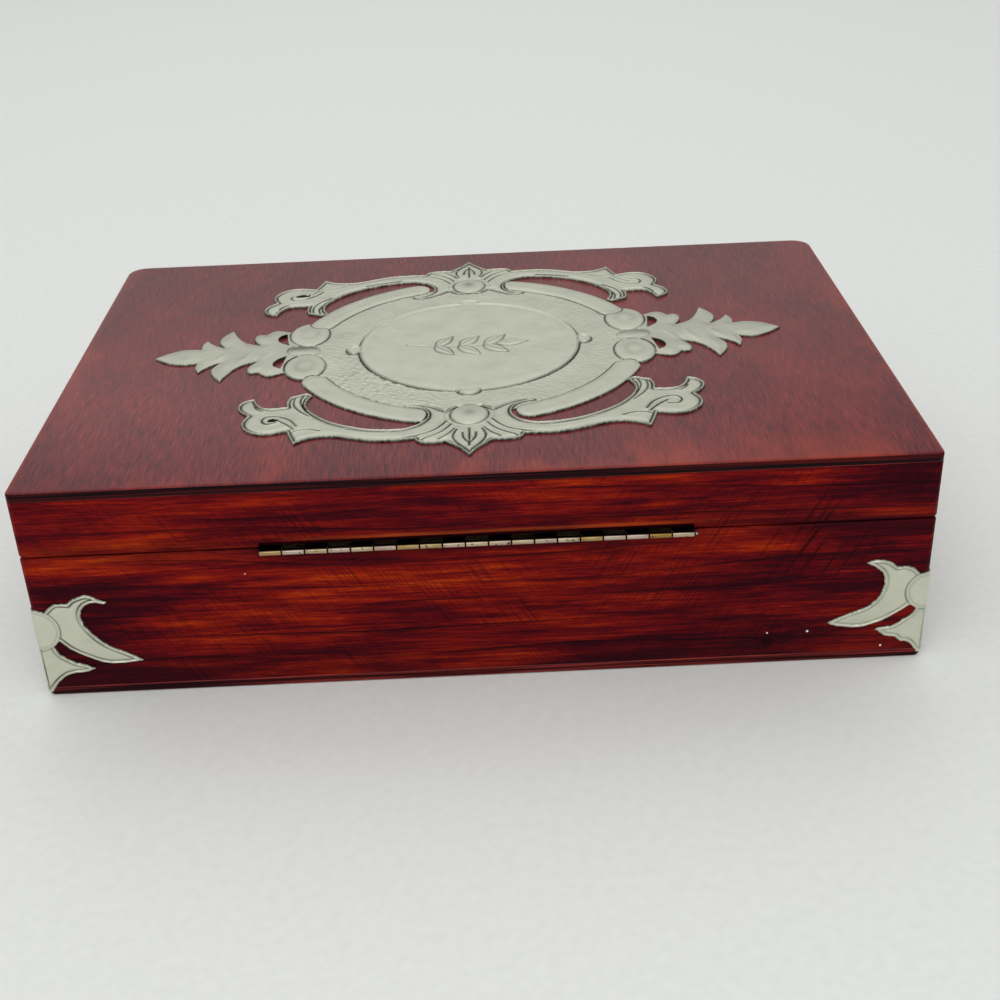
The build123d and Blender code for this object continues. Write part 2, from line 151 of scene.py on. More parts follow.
def line_distance(x: Array, y: Array, line: Array, far: float = 6.0) -> Array:
    """Distance to an open line: the least of the distances to the nearest point of each of its segments.

    Args:
        x: Grid of the first coordinate.
        y: Grid of the second coordinate.
        line: The line's points, in order.
        far: How far round the line's own box distances are worked out; a place further off gets this one.

    Returns:
        A grid of distances.
    """
    found = np.full(x.shape, far)
    here = near(x, y, line, far)
    px, py = x[here], y[here]
    best = np.full(px.shape, far**2)
    for (ax, ay), (bx, by) in zip(line[:-1], line[1:]):
        dx, dy = bx - ax, by - ay
        share = np.clip(((px - ax) * dx + (py - ay) * dy) / (dx * dx + dy * dy + 1e-12), 0, 1)
        best = np.minimum(best, (px - ax - share * dx) ** 2 + (py - ay - share * dy) ** 2)
    found[here] = np.sqrt(best)
    return found


def crossed_oddly(x: Array, y: Array, starts: Array, ends: Array) -> Array:
    """Which points lie inside closed lines: those with an odd number of the lines' segments to their right.

    Args:
        x: First coordinates of the points.
        y: Second coordinates of the points.
        starts: Where each segment starts.
        ends: Where each segment ends.

    Returns:
        For each point, whether it lies inside.
    """
    inside = np.zeros(x.shape, bool)
    for (ax, ay), (bx, by) in zip(starts, ends):
        if ay != by:
            inside ^= ((ay > y) != (by > y)) & (x < (bx - ax) * (y - ay) / (by - ay) + ax)
    return inside


def outline_depth(x: Array, y: Array, outline: Array, far: float = 6.0) -> Array:
    """Distance inward from a closed outline, negative outside it.

    The distance is that to the line, and a point is inside where a ray from it crosses the line an odd
    number of times.

    Args:
        x: Grid of the first coordinate.
        y: Grid of the second coordinate.
        outline: The closed line, its first point repeated at its end.
        far: The largest distance that is told apart outside.

    Returns:
        A grid of depths.
    """
    here = near(x, y, outline, far)
    px, py = x[here], y[here]
    inside = crossed_oddly(px, py, outline[:-1], outline[1:])
    depth = np.full(x.shape, -far)
    distance = line_distance(px, py, outline, far=60.0)
    depth[here] = np.where(inside, distance, -distance)
    return depth


def lattice(i: Array, j: Array, seed: int) -> Array:
    """A repeatable number from 0 to 1 for each whole-numbered place: the fraction of a large sine."""
    return np.modf(np.abs(np.sin(i * 127.1 + j * 311.7 + seed * 74.7) * 43758.5453))[0]


def hammered(x: Array, y: Array, pitch: float, seed: int) -> Array:
    """Overlapping round dents: 0 at the middle of a dent and 1 between dents.

    Each square of a lattice holds one dent at a random place, and a point takes its squared distance to
    the nearest of the nine dents round it.

    Args:
        x: Grid of the first coordinate.
        y: Grid of the second coordinate.
        pitch: The side of the lattice's squares.
        seed: A number that picks the dents' places.

    Returns:
        A grid of values.
    """
    i, j = np.floor(x / pitch), np.floor(y / pitch)
    best = np.full(x.shape, 9.0)
    for di in (-1, 0, 1):
        for dj in (-1, 0, 1):
            cx = i + di + 0.15 + 0.7 * lattice(i + di, j + dj, seed)
            cy = j + dj + 0.15 + 0.7 * lattice(i + di, j + dj, seed + 1)
            best = np.minimum(best, (x / pitch - cx) ** 2 + (y / pitch - cy) ** 2)
    return np.clip(best, 0, 1)


def hand_waver(x: Array, y: Array, length: float, seed: int) -> Array:
    """Slow unevenness between -1 and 1: four sine waves of about one length, each running its own way.

    Args:
        x: Grid of the first coordinate.
        y: Grid of the second coordinate.
        length: The length of the waves, about.
        seed: A number that picks their directions and phases.

    Returns:
        A grid of values.
    """
    total = np.zeros_like(x)
    for k in range(4):
        turn = 2.4 * k + seed
        pace = 2 * math.pi / (length * (0.8 + 0.17 * k))
        total += np.sin(pace * (x * math.cos(turn) + y * math.sin(turn)) + 1.9 * seed * (k + 1))
    return total / 4


# Meshes


def new_object(
    name: str, points: Array, faces: Sequence[Sequence[int]], crease: float = 40.0
) -> bpy.types.Object:
    """Makes a smooth-shaded mesh object at the origin.

    Args:
        name: The object's name.
        points: Its vertices in millimetres.
        faces: Its faces, as an array or a list of vertex numbers.
        crease: The angle in degrees past which an edge stays sharp.

    Returns:
        The new object, linked to the scene.
    """
    mesh = bpy.data.meshes.new(name)
    mesh.from_pydata(np.asarray(points) * MM, [], faces if isinstance(faces, list) else faces.tolist())
    mesh.validate()
    mesh.shade_smooth()
    mesh.set_sharp_from_angle(angle=math.radians(crease))
    made = bpy.data.objects.new(name, mesh)
    bpy.context.scene.collection.objects.link(made)
    return made


def dress(piece: bpy.types.Object, body: Body, slot: Slot, material: bpy.types.Material, *nodes: str) -> None:
    """Gives a piece its finish and its body, and hides the CAD nodes that it stands for.

    Args:
        piece: The piece.
        body: The body that it moves with.
        slot: Its material slot; not used.
        material: Its finish.
        nodes: The names of the CAD nodes that it replaces.
    """
    piece.data.materials.clear()
    piece.data.materials.append(material)
    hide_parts(*nodes)
    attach(piece, body.value)
    LOG.info("%s: %d faces, rides on %s", piece.name, len(piece.data.polygons), body.value)


def loft(name: str, *skins: Array, crease: float = 40.0) -> bpy.types.Object:
    """Skins rows of closed rings and closes the ends of each.

    Args:
        name: The object's name.
        skins: Points as rings by points by three, in millimetres, turning so that the faces point outwards.
        crease: The angle in degrees past which an edge stays sharp.

    Returns:
        One object with every skin in it.
    """
    faces, start = [], 0
    for rings in skins:
        count, size = rings.shape[:2]
        ids = start + np.arange(count * size).reshape(count, size)
        after = np.roll(ids, -1, axis=1)
        faces += np.stack((ids[:-1], after[:-1], after[1:], ids[1:]), axis=-1).reshape(-1, 4).tolist()
        faces += [ids[0, ::-1].tolist(), ids[-1].tolist()]
        start += count * size
    return new_object(name, np.concatenate([rings.reshape(-1, 3) for rings in skins]), faces, crease)


@dataclass
class Patch:
    """The part of a grid where a field is positive, cut along the field's zero line.

    Each square of the grid is two triangles. A triangle with one corner inside keeps its tip, one with two
    keeps a four-sided piece, and the cut stands where the field passes zero between the two corners.
    """

    field: Array
    sources: Array = field(init=False)
    shares: Array = field(init=False)
    triangles: Array = field(init=False)
    rim: Array = field(init=False)

    def __post_init__(self) -> None:
        """Finds the kept triangles, the cut points and the directed rim."""
        rows, columns = self.field.shape
        ids = np.arange(rows * columns).reshape(rows, columns)
        a, b, c, d = ids[:-1, :-1], ids[:-1, 1:], ids[1:, 1:], ids[1:, :-1]
        corners = np.concatenate([np.stack(half, -1).reshape(-1, 3) for half in ((a, b, c), (a, c, d))])
        flat = self.field.ravel()
        inside = flat[corners] > 0
        kept = inside.sum(1)
        whole = corners[kept == 3]
        tips = self._turned(corners[kept == 1], inside[kept == 1])
        stubs = self._turned(corners[kept == 2], ~inside[kept == 2])
        cuts = np.sort(
            np.concatenate([tips[:, [0, 1]], tips[:, [0, 2]], stubs[:, [2, 0]], stubs[:, [0, 1]]]), axis=1
        )
        pairs, where = np.unique(cuts, axis=0, return_inverse=True)
        where = where.ravel() + flat.size
        n, m = len(tips), len(stubs)
        tip_b, tip_c, stub_c, stub_b = np.split(where, [n, 2 * n, 2 * n + m])
        triangles = np.concatenate(
            [
                whole,
                np.column_stack((tips[:, 0], tip_b, tip_c)),
                np.column_stack((stubs[:, 1], stubs[:, 2], stub_c)),
                np.column_stack((stubs[:, 1], stub_c, stub_b)),
            ]
        )
        rim = np.concatenate([np.column_stack((tip_b, tip_c)), np.column_stack((stub_c, stub_b))])
        low, high = np.abs(flat[pairs[:, 0]]), np.abs(flat[pairs[:, 1]])
        share = np.clip(low / (low + high + 1e-12), 0.06, 0.94)
        used, packed = np.unique(triangles, return_inverse=True)
        number = np.zeros(flat.size + len(pairs), int)
        number[used] = np.arange(len(used))
        self.triangles = packed.reshape(-1, 3)
        self.rim = number[rim]
        self.sources = np.concatenate([np.column_stack((np.arange(flat.size),) * 2), pairs])[used]
        self.shares = np.concatenate([np.zeros(flat.size), share])[used]

    @staticmethod
    def _turned(corners: Array, odd: Array) -> Array:
        """Turns each triangle so that its odd corner comes first."""
        first = odd.argmax(1)[:, None]
        return np.take_along_axis(corners, (first + np.arange(3)) % 3, axis=1)

    def at(self, values: Array) -> Array:
        """Values of a grid at the patch's own points, taken between the two corners of each cut."""
        flat = values.ravel()
        return flat[self.sources[:, 0]] * (1 - self.shares) + flat[self.sources[:, 1]] * self.shares


def flat_cover(points: Array, rim: Array) -> Array:
    """Covers the inside of a rim with few triangles.

    The triangles come from a Delaunay triangulation held to the rim's segments. Those whose middle does not
    lie inside the rim, as in a hole, are dropped.

    Args:
        points: Places in the plane.
        rim: The rim's segments, as pairs of place numbers.

    Returns:
        Triangles of place numbers, turned to face upwards.
    """
    used = np.unique(rim)
    number = np.zeros(len(points), int)
    number[used] = np.arange(len(used))
    flat = [Vector(p) for p in points[used]]
    corners, _, found, origins, *_ = geometry.delaunay_2d_cdt(flat, number[rim].tolist(), [], 0, 1e-7)
    triangles = used[np.array([origins[i][0] for i in range(len(corners))])[np.array(found)]]
    middle = points[triangles].mean(axis=1)
    return triangles[crossed_oddly(middle[:, 0], middle[:, 1], points[rim[:, 0]], points[rim[:, 1]])]


def sheet(name: str, patch: Patch, front: Array, back: Array, patina_and_shade: Array, flat: bool) -> bpy.types.Object:
    """Makes a closed worked sheet from a patch.

    The front is the patch's own triangles, and walls run down its rim. The back is the same triangles turned
    round, or, where it is flat, as few triangles as its rim needs.

    Args:
        name: The object's name.
        patch: The patch of the grid.
        front: The front's points, in millimetres.
        back: The back's points, in the same order.
        patina_and_shade: How dark each point of the front is, from 0 to 1.
        flat: Whether the back is flat.

    Returns:
        The object, with its tarnish in an attribute of that name.
    """
    size = len(front)
    first, second = patch.rim.T
    walls = np.column_stack((first, first + size, second + size, second))
    cover = flat_cover(back[:, :2], patch.rim) if flat else patch.triangles
    under = cover[:, ::-1] + size
    kept = np.concatenate([np.arange(size), np.unique(under)])
    number = np.zeros(2 * size, int)
    number[kept] = np.arange(len(kept))
    points = np.concatenate([front, back])[kept]
    faces = [*number[patch.triangles].tolist(), *number[walls].tolist(), *number[under].tolist()]
    made = new_object(name, points, faces, crease=55)
    attribute = made.data.attributes.new("patina_and_shade", "FLOAT", "POINT")
    attribute.data.foreach_set("value", np.concatenate([patina_and_shade, patina_and_shade])[kept].astype(np.float32))
    return made


# Materials


def node_box(node: str) -> tuple[Array, Array]:
    """A CAD node's box: its lowest and its highest corner, in millimetres to the nearest hundredth."""
    corners = np.round(np.array(frame["nodes"][node].bound_box) / MM, 2)
    return corners.min(axis=0), corners.max(axis=0)


def metres(place: Triple) -> Triple:
    """A place in millimetres, in metres."""
    return tuple(v * MM for v in place)


def linear(code: str) -> tuple[float, float, float, float]:
    """Turns an sRGB hex colour to linear light.

    Below 0.04045 a part is divided by 12.92, and above it is shifted, scaled and raised to the 2.4.

    Args:
        code: The colour, as a hash sign and six hex digits.

    Returns:
        Red, green, blue and alpha.
    """
    parts = [int(code[i : i + 2], 16) / 255 for i in (1, 3, 5)]
    red, green, blue = (v / 12.92 if v <= 0.04045 else ((v + 0.055) / 1.055) ** 2.4 for v in parts)
    return red, green, blue, 1.0


@dataclass
class Nodes:
    """The nodes of a material or of the world, with one way to add to them."""

    owner: bpy.types.Material | bpy.types.World

    def __post_init__(self) -> None:
        """Clears the owner's nodes."""
        self.owner.use_nodes = True
        self.tree.nodes.clear()

    @property
    def tree(self) -> bpy.types.NodeTree:
        """The owner's node tree."""
        return self.owner.node_tree

    def add(self, kind: str, inputs: dict[str | int, Any] | None = None, **settings: Any) -> bpy.types.Node:
        """Adds a node.

        Args:
            kind: Its type, without the leading ShaderNode.
            inputs: For each input, a value or the output of another node.
            settings: Its properties. A ramp takes stops, a list of (position, hex colour).

        Returns:
            The node.
        """
        node = self.tree.nodes.new("ShaderNode" + kind)
        stops = settings.pop("stops", None)
        for key, value in settings.items():
            setattr(node, key, value)
        if stops:
            while len(node.color_ramp.elements) < len(stops):
                node.color_ramp.elements.new(0.5)
            for element, (position, colour) in zip(node.color_ramp.elements, stops):
                element.position, element.color = position, linear(colour)
        for key, value in (inputs or {}).items():
            if isinstance(value, bpy.types.NodeSocket):
                self.tree.links.new(value, node.inputs[key])
            else:
                node.inputs[key].default_value = value
        return node

    def finish(self, surface: bpy.types.NodeSocket) -> bpy.types.Material:
        """Links the surface to the material's output and gives the material."""
        self.add("OutputMaterial", {"Surface": surface})
        return self.owner


def per_mm(size: float) -> float:
    """The texture scale whose features repeat about every size millimetres."""
    return 1.0 / (size * MM)


def drawn_noise(
    n: Nodes,
    place: bpy.types.NodeSocket,
    size: float,
    stretch: Triple = (1, 1, 1),
    turn: float = 0.0,
    detail: float = 2.0,
) -> bpy.types.NodeSocket:
    """Noise drawn out along an axis, as in wood.

    Args:
        n: The material being made.
        place: The coordinates to read.
        size: The size of its features, in millimetres, before they are drawn out.
        stretch: How many times longer they are along each axis.
        turn: A turn of the stretched axes about Y, in radians.
        detail: How many finer layers are added.

    Returns:
        Its value, about 0.5 on average.
    """
    drawn = n.add(
        "Mapping", {"Vector": place, "Rotation": (0, turn, 0), "Scale": stretch}, vector_type="TEXTURE"
    )
    noise = n.add(
        "TexNoise", {"Vector": drawn.outputs[0], "Scale": per_mm(size), "Detail": detail, "Roughness": 0.6}
    )
    return noise.outputs["Fac"]


@dataclass(frozen=True)
class Mark:
    """A round mark on a board: its middle and radius in millimetres, its colour and how far it covers."""

    place: Triple
    radius: float
    colour: str
    cover: float = 1.0


@dataclass(frozen=True)
class Pool:
    """A place where stain pooled: its middle and radius in millimetres, and how much deeper it lies there."""

    place: Triple
    radius: float
    depth: float


@dataclass(frozen=True)
class Layer:
    """A layer of uneven stain: its size in millimetres, its stretch along the grain and its weight."""

    size: float
    stretch: float
    weight: float


@dataclass(frozen=True)
class StainedPine:
    """Pine boards, sawn, sanded across the grain, stained dark red by hand and oiled.

    The stain goes darkest in long soft patches and along the growth lines, and stays orange-red over hard
    wood.
    The colour is also darker in uneven patches towards the foot and near the joint, and painted shade darkens
    all of the hinge's recess. The slanting scratches of the sandpaper hold more stain, and so do a few saw
    marks.
    The oil leaves hardly any gloss, so the colour stays deep. Real scratches are too fine to show, so they
    are drawn coarser, at half a millimetre.
    """

    grain: Grain
    seed: float = 0.0
    ring: float = 9.0
    tones: tuple[str, ...] = ("#340711", "#580a12", "#7c150f", "#9c290c", "#ba4510")
    layers: tuple[Layer, ...] = (
        Layer(15.0, 5.0, 0.7),
        Layer(6.0, 11.0, 0.6),
        Layer(2.2, 15.0, 0.55),
        Layer(0.7, 26.0, 0.5),
        Layer(0.35, 12.0, 0.36),
    )
    pools: tuple[Pool, ...] = (
        Pool((-98.0, 87.5, 22.0), 84.0, 0.115),
        Pool((-84.0, 87.5, 60.0), 26.0, -0.09),
        Pool((110.0, 87.5, 2.0), 62.0, 0.14),
        Pool((70.0, 87.5, 58.0), 70.0, -0.05),
        Pool((88.0, 87.5, 40.0), 34.0, -0.06),
        Pool((8.0, 87.5, 12.0), 40.0, -0.04),
    )
    foot: Pair = (4.0, 13.0)
    joint_z: float = 46.5
    shaded_recess_middle: Pair = (0.6, 86.4)
    shaded_recess_reach: Pair = (61.0, 0.9)
    scratch: float = 0.5
    slants: Pair = (-57.0, 60.0)
    turn_over: float = -25.0
    saw_marks: Triple = (-94.0, 87.5, 41.0)
    corner_sums: Pair = (214.4, 215.8)
    rubbed_x: float = -6.0
    rubbed_z: float = 49.0
    marks: tuple[Mark, ...] = (
        Mark((-81.8, 87.5, 7.8), 1.9, "#1c060a", 0.8),
        Mark((-81.6, 87.5, 10.6), 0.32, "#e9dcd6"),
        Mark((-93.2, 87.5, 10.6), 0.42, "#f2ece6"),
        Mark((-114.9, 87.5, 4.5), 0.36, "#f2ece6"),
        Mark((65.5, 87.5, 38.6), 0.3, "#cfa9a2", 0.8),
    )

    def build(self, name: str) -> bpy.types.Material:
        """Makes the material.

        Args:
            name: The name that it gets.

        Returns:
            The material.
        """
        n = Nodes(bpy.data.materials.new(name))
        place = n.add("TexCoord").outputs["Object"]
        turn = 0.0 if self.grain is Grain.ALONG_X else math.pi / 2
        mapping = n.add("Mapping", {"Vector": place, "Rotation": (0, 0, turn), "Location": (self.seed, 0, 0)})
        board = mapping.outputs[0]
        broad, *finer = self.layers
        clouds = drawn_noise(n, board, broad.size, (broad.stretch, 1, 1))
        total = n.add("Math", {0: clouds, 1: broad.weight}, operation="MULTIPLY").outputs[0]
        for layer in finer:
            noise = drawn_noise(n, board, layer.size, (layer.stretch, 1, 1), detail=3.0)
            total = n.add("Math", {0: noise, 1: layer.weight, 2: total}, operation="MULTIPLY_ADD").outputs[0]
        for pool in self.pools:
            away = n.add("VectorMath", {0: place, 1: metres(pool.place)}, operation="DISTANCE")
            end = pool.radius * MM
            here = n.add(
                "MapRange",
                {"Value": away.outputs["Value"], "From Max": end, "To Min": -pool.depth, "To Max": 0.0},
                interpolation_type="SMOOTHSTEP",
            )
            total = n.add("Math", {0: total, 1: here.outputs["Result"]}).outputs[0]
        middle = sum(layer.weight for layer in self.layers) / 2
        depth = n.add("MapRange", {"Value": total, "From Min": middle - 0.2, "From Max": middle + 0.32})
        stops = list(zip(np.linspace(0, 1, len(self.tones)), self.tones))
        tone = n.add("ValToRGB", {"Fac": depth.outputs["Result"]}, stops=stops)
        apart = n.add("SeparateXYZ", {0: place})
        # soaked holds the darkening towards the foot and near the joint and the painted shade in the hinge's
        # recess, all mixed towards #2c0710.
        soaked = self._darkened_and_shaded(n, apart, clouds)
        darker = n.add("Mix", {0: soaked, 6: tone.outputs["Color"], 7: linear("#2c0710")}, data_type="RGBA")
        lines = self._lines(n, place, board, apart)
        lined = n.add("Mix", {0: lines, 6: darker.outputs[2], 7: linear("#20060c")}, data_type="RGBA")
        colour = self._worn(n, apart, total, lined.outputs[2])
        colour = self._marked(n, place, colour)
        rough = n.add("MapRange", {"Value": total, "To Min": 0.6, "To Max": 0.4})
        bump = n.add("Bump", {"Height": total, "Strength": 0.3, "Distance": 0.1 * MM})
        shader = n.add(
            "BsdfPrincipled",
            {
                "Base Color": colour,
                "Roughness": rough.outputs["Result"],
                "IOR": 1.5,
                "Specular IOR Level": 0.03,
                "Normal": bump.outputs["Normal"],
            },
        )
        return n.finish(shader.outputs["BSDF"])

    def _darkened_and_shaded(self, n: Nodes, apart: bpy.types.Node, clouds: bpy.types.NodeSocket) -> bpy.types.NodeSocket:
        """Finds where the wood goes darker, and where shade is painted.

        It goes darker in uneven patches towards the foot and near the joint, and painted shade covers all of
        the hinge's recess.

        Args:
            n: The material being made.
            apart: The separated coordinates.
            clouds: Broad noise, which makes the patches.

        Returns:
            How dark it goes there, from 0 to 1.
        """
        low, high = (v * MM for v in self.foot)
        foot = n.add(
            "MapRange",
            {"Value": apart.outputs[2], "From Min": low, "From Max": high, "To Min": 0.75, "To Max": 0.0},
        )
        above = n.add("Math", {0: apart.outputs[2], 1: self.joint_z * MM}, operation="SUBTRACT")
        away = n.add("Math", {0: above.outputs[0]}, operation="ABSOLUTE").outputs[0]
        joint = n.add(
            "MapRange",
            {"Value": away, "From Min": 0.8 * MM, "From Max": 5 * MM, "To Min": 0.8, "To Max": 0.0},
        )
        both = n.add("Math", {0: foot.outputs["Result"], 1: joint.outputs["Result"]}, operation="MAXIMUM")
        patchy = n.add("MapRange", {"Value": clouds, "From Min": 0.62, "From Max": 0.42, "To Min": 0.1})
        outside = n.add("Math", {0: both.outputs[0], 1: patchy.outputs["Result"]}, operation="MULTIPLY")
        # Painted shade: the hinge's recess lies in the shade of the lid and the hinge, and is darkened all
        # over.
        (x, y), (reach_x, reach_y) = self.shaded_recess_middle, self.shaded_recess_reach
        inward = n.add("Math", {0: apart.outputs[1], 1: y * MM, 2: reach_y * MM}, operation="COMPARE")
        along = n.add("Math", {0: apart.outputs[0], 1: x * MM, 2: reach_x * MM}, operation="COMPARE")
        recess = n.add("Math", {0: inward.outputs[0], 1: along.outputs[0]}, operation="MULTIPLY")
        return n.add("Math", {0: outside.outputs[0], 1: recess.outputs[0]}, operation="MAXIMUM").outputs[0]

    def _lines(
        self, n: Nodes, place: bpy.types.NodeSocket, board: bpy.types.NodeSocket, apart: bpy.types.Node
    ) -> bpy.types.NodeSocket:
        """Draws the thin lines: growth lines that come and go, scratches and saw marks.

        A growth line is the end of a saw wave over the height, warped slowly. The wave's own period is
        2 pi / 20. The scratches slant one way on one half of a board and the other way on the other.

        Args:
            n: The material being made.
            place: The coordinates.
            board: The coordinates turned so that the grain runs along the first.
            apart: The separated coordinates.

        Returns:
            How much stain the lines hold, from 0 to 1.
        """
        drawn = n.add("Mapping", {"Vector": board, "Scale": (8, 1, 1)}, vector_type="TEXTURE")
        wave = n.add(
            "TexWave",
            {
                "Vector": drawn.outputs[0],
                "Scale": math.tau / 20 * per_mm(self.ring),
                "Distortion": 8.0,
                "Detail": 2.0,
                "Detail Scale": 1.1,
            },
            bands_direction="Z",
            wave_profile="SAW",
        )
        ring = n.add("MapRange", {"Value": wave.outputs["Fac"], "From Min": 0.89, "From Max": 1.0})
        comes = drawn_noise(n, board, 9.0, (9, 1, 1), detail=1.0)
        shown = n.add("MapRange", {"Value": comes, "From Min": 0.34, "From Max": 0.52, "To Min": 0.25})
        rings = n.add("Math", {0: ring.outputs["Result"], 1: shown.outputs["Result"]}, operation="MULTIPLY")
        total = rings.outputs[0]
        area = drawn_noise(n, board, 24.0, (2, 1, 1), detail=1.0)
        sanded = n.add(
            "MapRange", {"Value": area, "From Min": 0.4, "From Max": 0.55, "To Min": 0.08, "To Max": 0.5}
        ).outputs["Result"]
        for slant, (first, second) in zip(self.slants, ((-12.0, 12.0), (12.0, -12.0))):
            start, end = (self.turn_over + first) * MM, (self.turn_over + second) * MM
            half = n.add("MapRange", {"Value": apart.outputs[0], "From Min": start, "From Max": end})
            scratch = drawn_noise(n, board, self.scratch, (40, 1, 1), turn=math.radians(slant), detail=1.0)
            thin = n.add("MapRange", {"Value": scratch, "From Min": 0.48, "From Max": 0.66}).outputs["Result"]
            here = n.add("Math", {0: half.outputs["Result"], 1: sanded}, operation="MULTIPLY")
            held = n.add("Math", {0: thin, 1: here.outputs[0]}, operation="MULTIPLY")
            total = n.add("Math", {0: total, 1: held.outputs[0]}, operation="MAXIMUM").outputs[0]
        middle = n.add("VectorMath", {0: place, 1: metres(self.saw_marks)}, operation="DISTANCE")
        away = middle.outputs["Value"]
        sawn = n.add(
            "MapRange",
            {"Value": away, "From Min": 8 * MM, "From Max": 24 * MM, "To Min": 0.75, "To Max": 0.0},
        )
        deep = drawn_noise(n, board, 0.8, (45, 1, 1), turn=math.radians(self.slants[1]), detail=0.0)
        cut = n.add("MapRange", {"Value": deep, "From Min": 0.62, "From Max": 0.76})
        held = n.add("Math", {0: cut.outputs["Result"], 1: sawn.outputs["Result"]}, operation="MULTIPLY")
        return n.add("Math", {0: total, 1: held.outputs[0]}, operation="MAXIMUM").outputs[0]

    def _worn(
        self, n: Nodes, apart: bpy.types.Node, ragged: bpy.types.NodeSocket, colour: bpy.types.NodeSocket
    ) -> bpy.types.NodeSocket:
        """Rubs the stain off in places.

        The upright corners are where the distances across and inward add up to most, and the rail is rubbed
        in a strip over the hinge.

        Args:
            n: The material being made.
            apart: The separated coordinates.
            ragged: The stain's own unevenness.
            colour: The colour before wear.

        Returns:
            The worn colour.
        """
        across = n.add("Math", {0: apart.outputs[0]}, operation="ABSOLUTE")
        inward = n.add("Math", {0: apart.outputs[1]}, operation="ABSOLUTE")
        reach = n.add("Math", {0: across.outputs[0], 1: inward.outputs[0]})
        uneven = n.add("Math", {0: ragged, 1: 1.0 * MM, 2: reach.outputs[0]}, operation="MULTIPLY_ADD")
        least, most = (v * MM for v in self.corner_sums)
        corner = n.add(
            "MapRange", {"Value": uneven.outputs[0], "From Min": least, "From Max": most, "To Max": 0.5}
        )
        above = n.add("Math", {0: apart.outputs[2], 1: self.rubbed_z * MM}, operation="SUBTRACT")
        off = n.add("Math", {0: above.outputs[0]}, operation="ABSOLUTE").outputs[0]
        strip = n.add(
            "MapRange",
            {"Value": off, "From Min": 0.2 * MM, "From Max": 0.8 * MM, "To Min": 0.8, "To Max": 0.0},
        )
        beside = n.add("Math", {0: apart.outputs[0], 1: self.rubbed_x * MM}, operation="SUBTRACT")
        far = n.add("Math", {0: beside.outputs[0]}, operation="ABSOLUTE").outputs[0]
        length = n.add(
            "MapRange", {"Value": far, "From Min": 30 * MM, "From Max": 62 * MM, "To Min": 1, "To Max": 0}
        )
        patchy = n.add("MapRange", {"Value": ragged, "From Min": 1.15, "From Max": 1.4, "To Min": 0.3})
        here = n.add("Math", {0: length.outputs["Result"], 1: patchy.outputs["Result"]}, operation="MULTIPLY")
        rubbed = n.add("Math", {0: strip.outputs["Result"], 1: here.outputs[0]}, operation="MULTIPLY")
        worn = n.add("Math", {0: corner.outputs["Result"], 1: rubbed.outputs[0]}, operation="MAXIMUM")
        bare = n.add("Mix", {0: worn.outputs[0], 6: colour, 7: linear("#a8441c")}, data_type="RGBA")
        return bare.outputs[2]

    def _marked(
        self, n: Nodes, place: bpy.types.NodeSocket, colour: bpy.types.NodeSocket
    ) -> bpy.types.NodeSocket:
        """Puts the marks on: each covers the places nearer to its middle than its radius.

        Args:
            n: The material being made.
            place: The coordinates.
            colour: The colour before the marks.

        Returns:
            The colour with the marks.
        """
        for mark in self.marks:
            away = n.add("VectorMath", {0: place, 1: metres(mark.place)}, operation="DISTANCE")
            share = n.add(
                "MapRange",
                {
                    "Value": away.outputs["Value"],
                    "From Min": 0.75 * mark.radius * MM,
                    "From Max": mark.radius * MM,
                    "To Min": mark.cover,
                    "To Max": 0.0,
                },
            ).outputs["Result"]
            colour = n.add("Mix", {0: share, 6: colour, 7: linear(mark.colour)}, data_type="RGBA").outputs[2]
        return colour


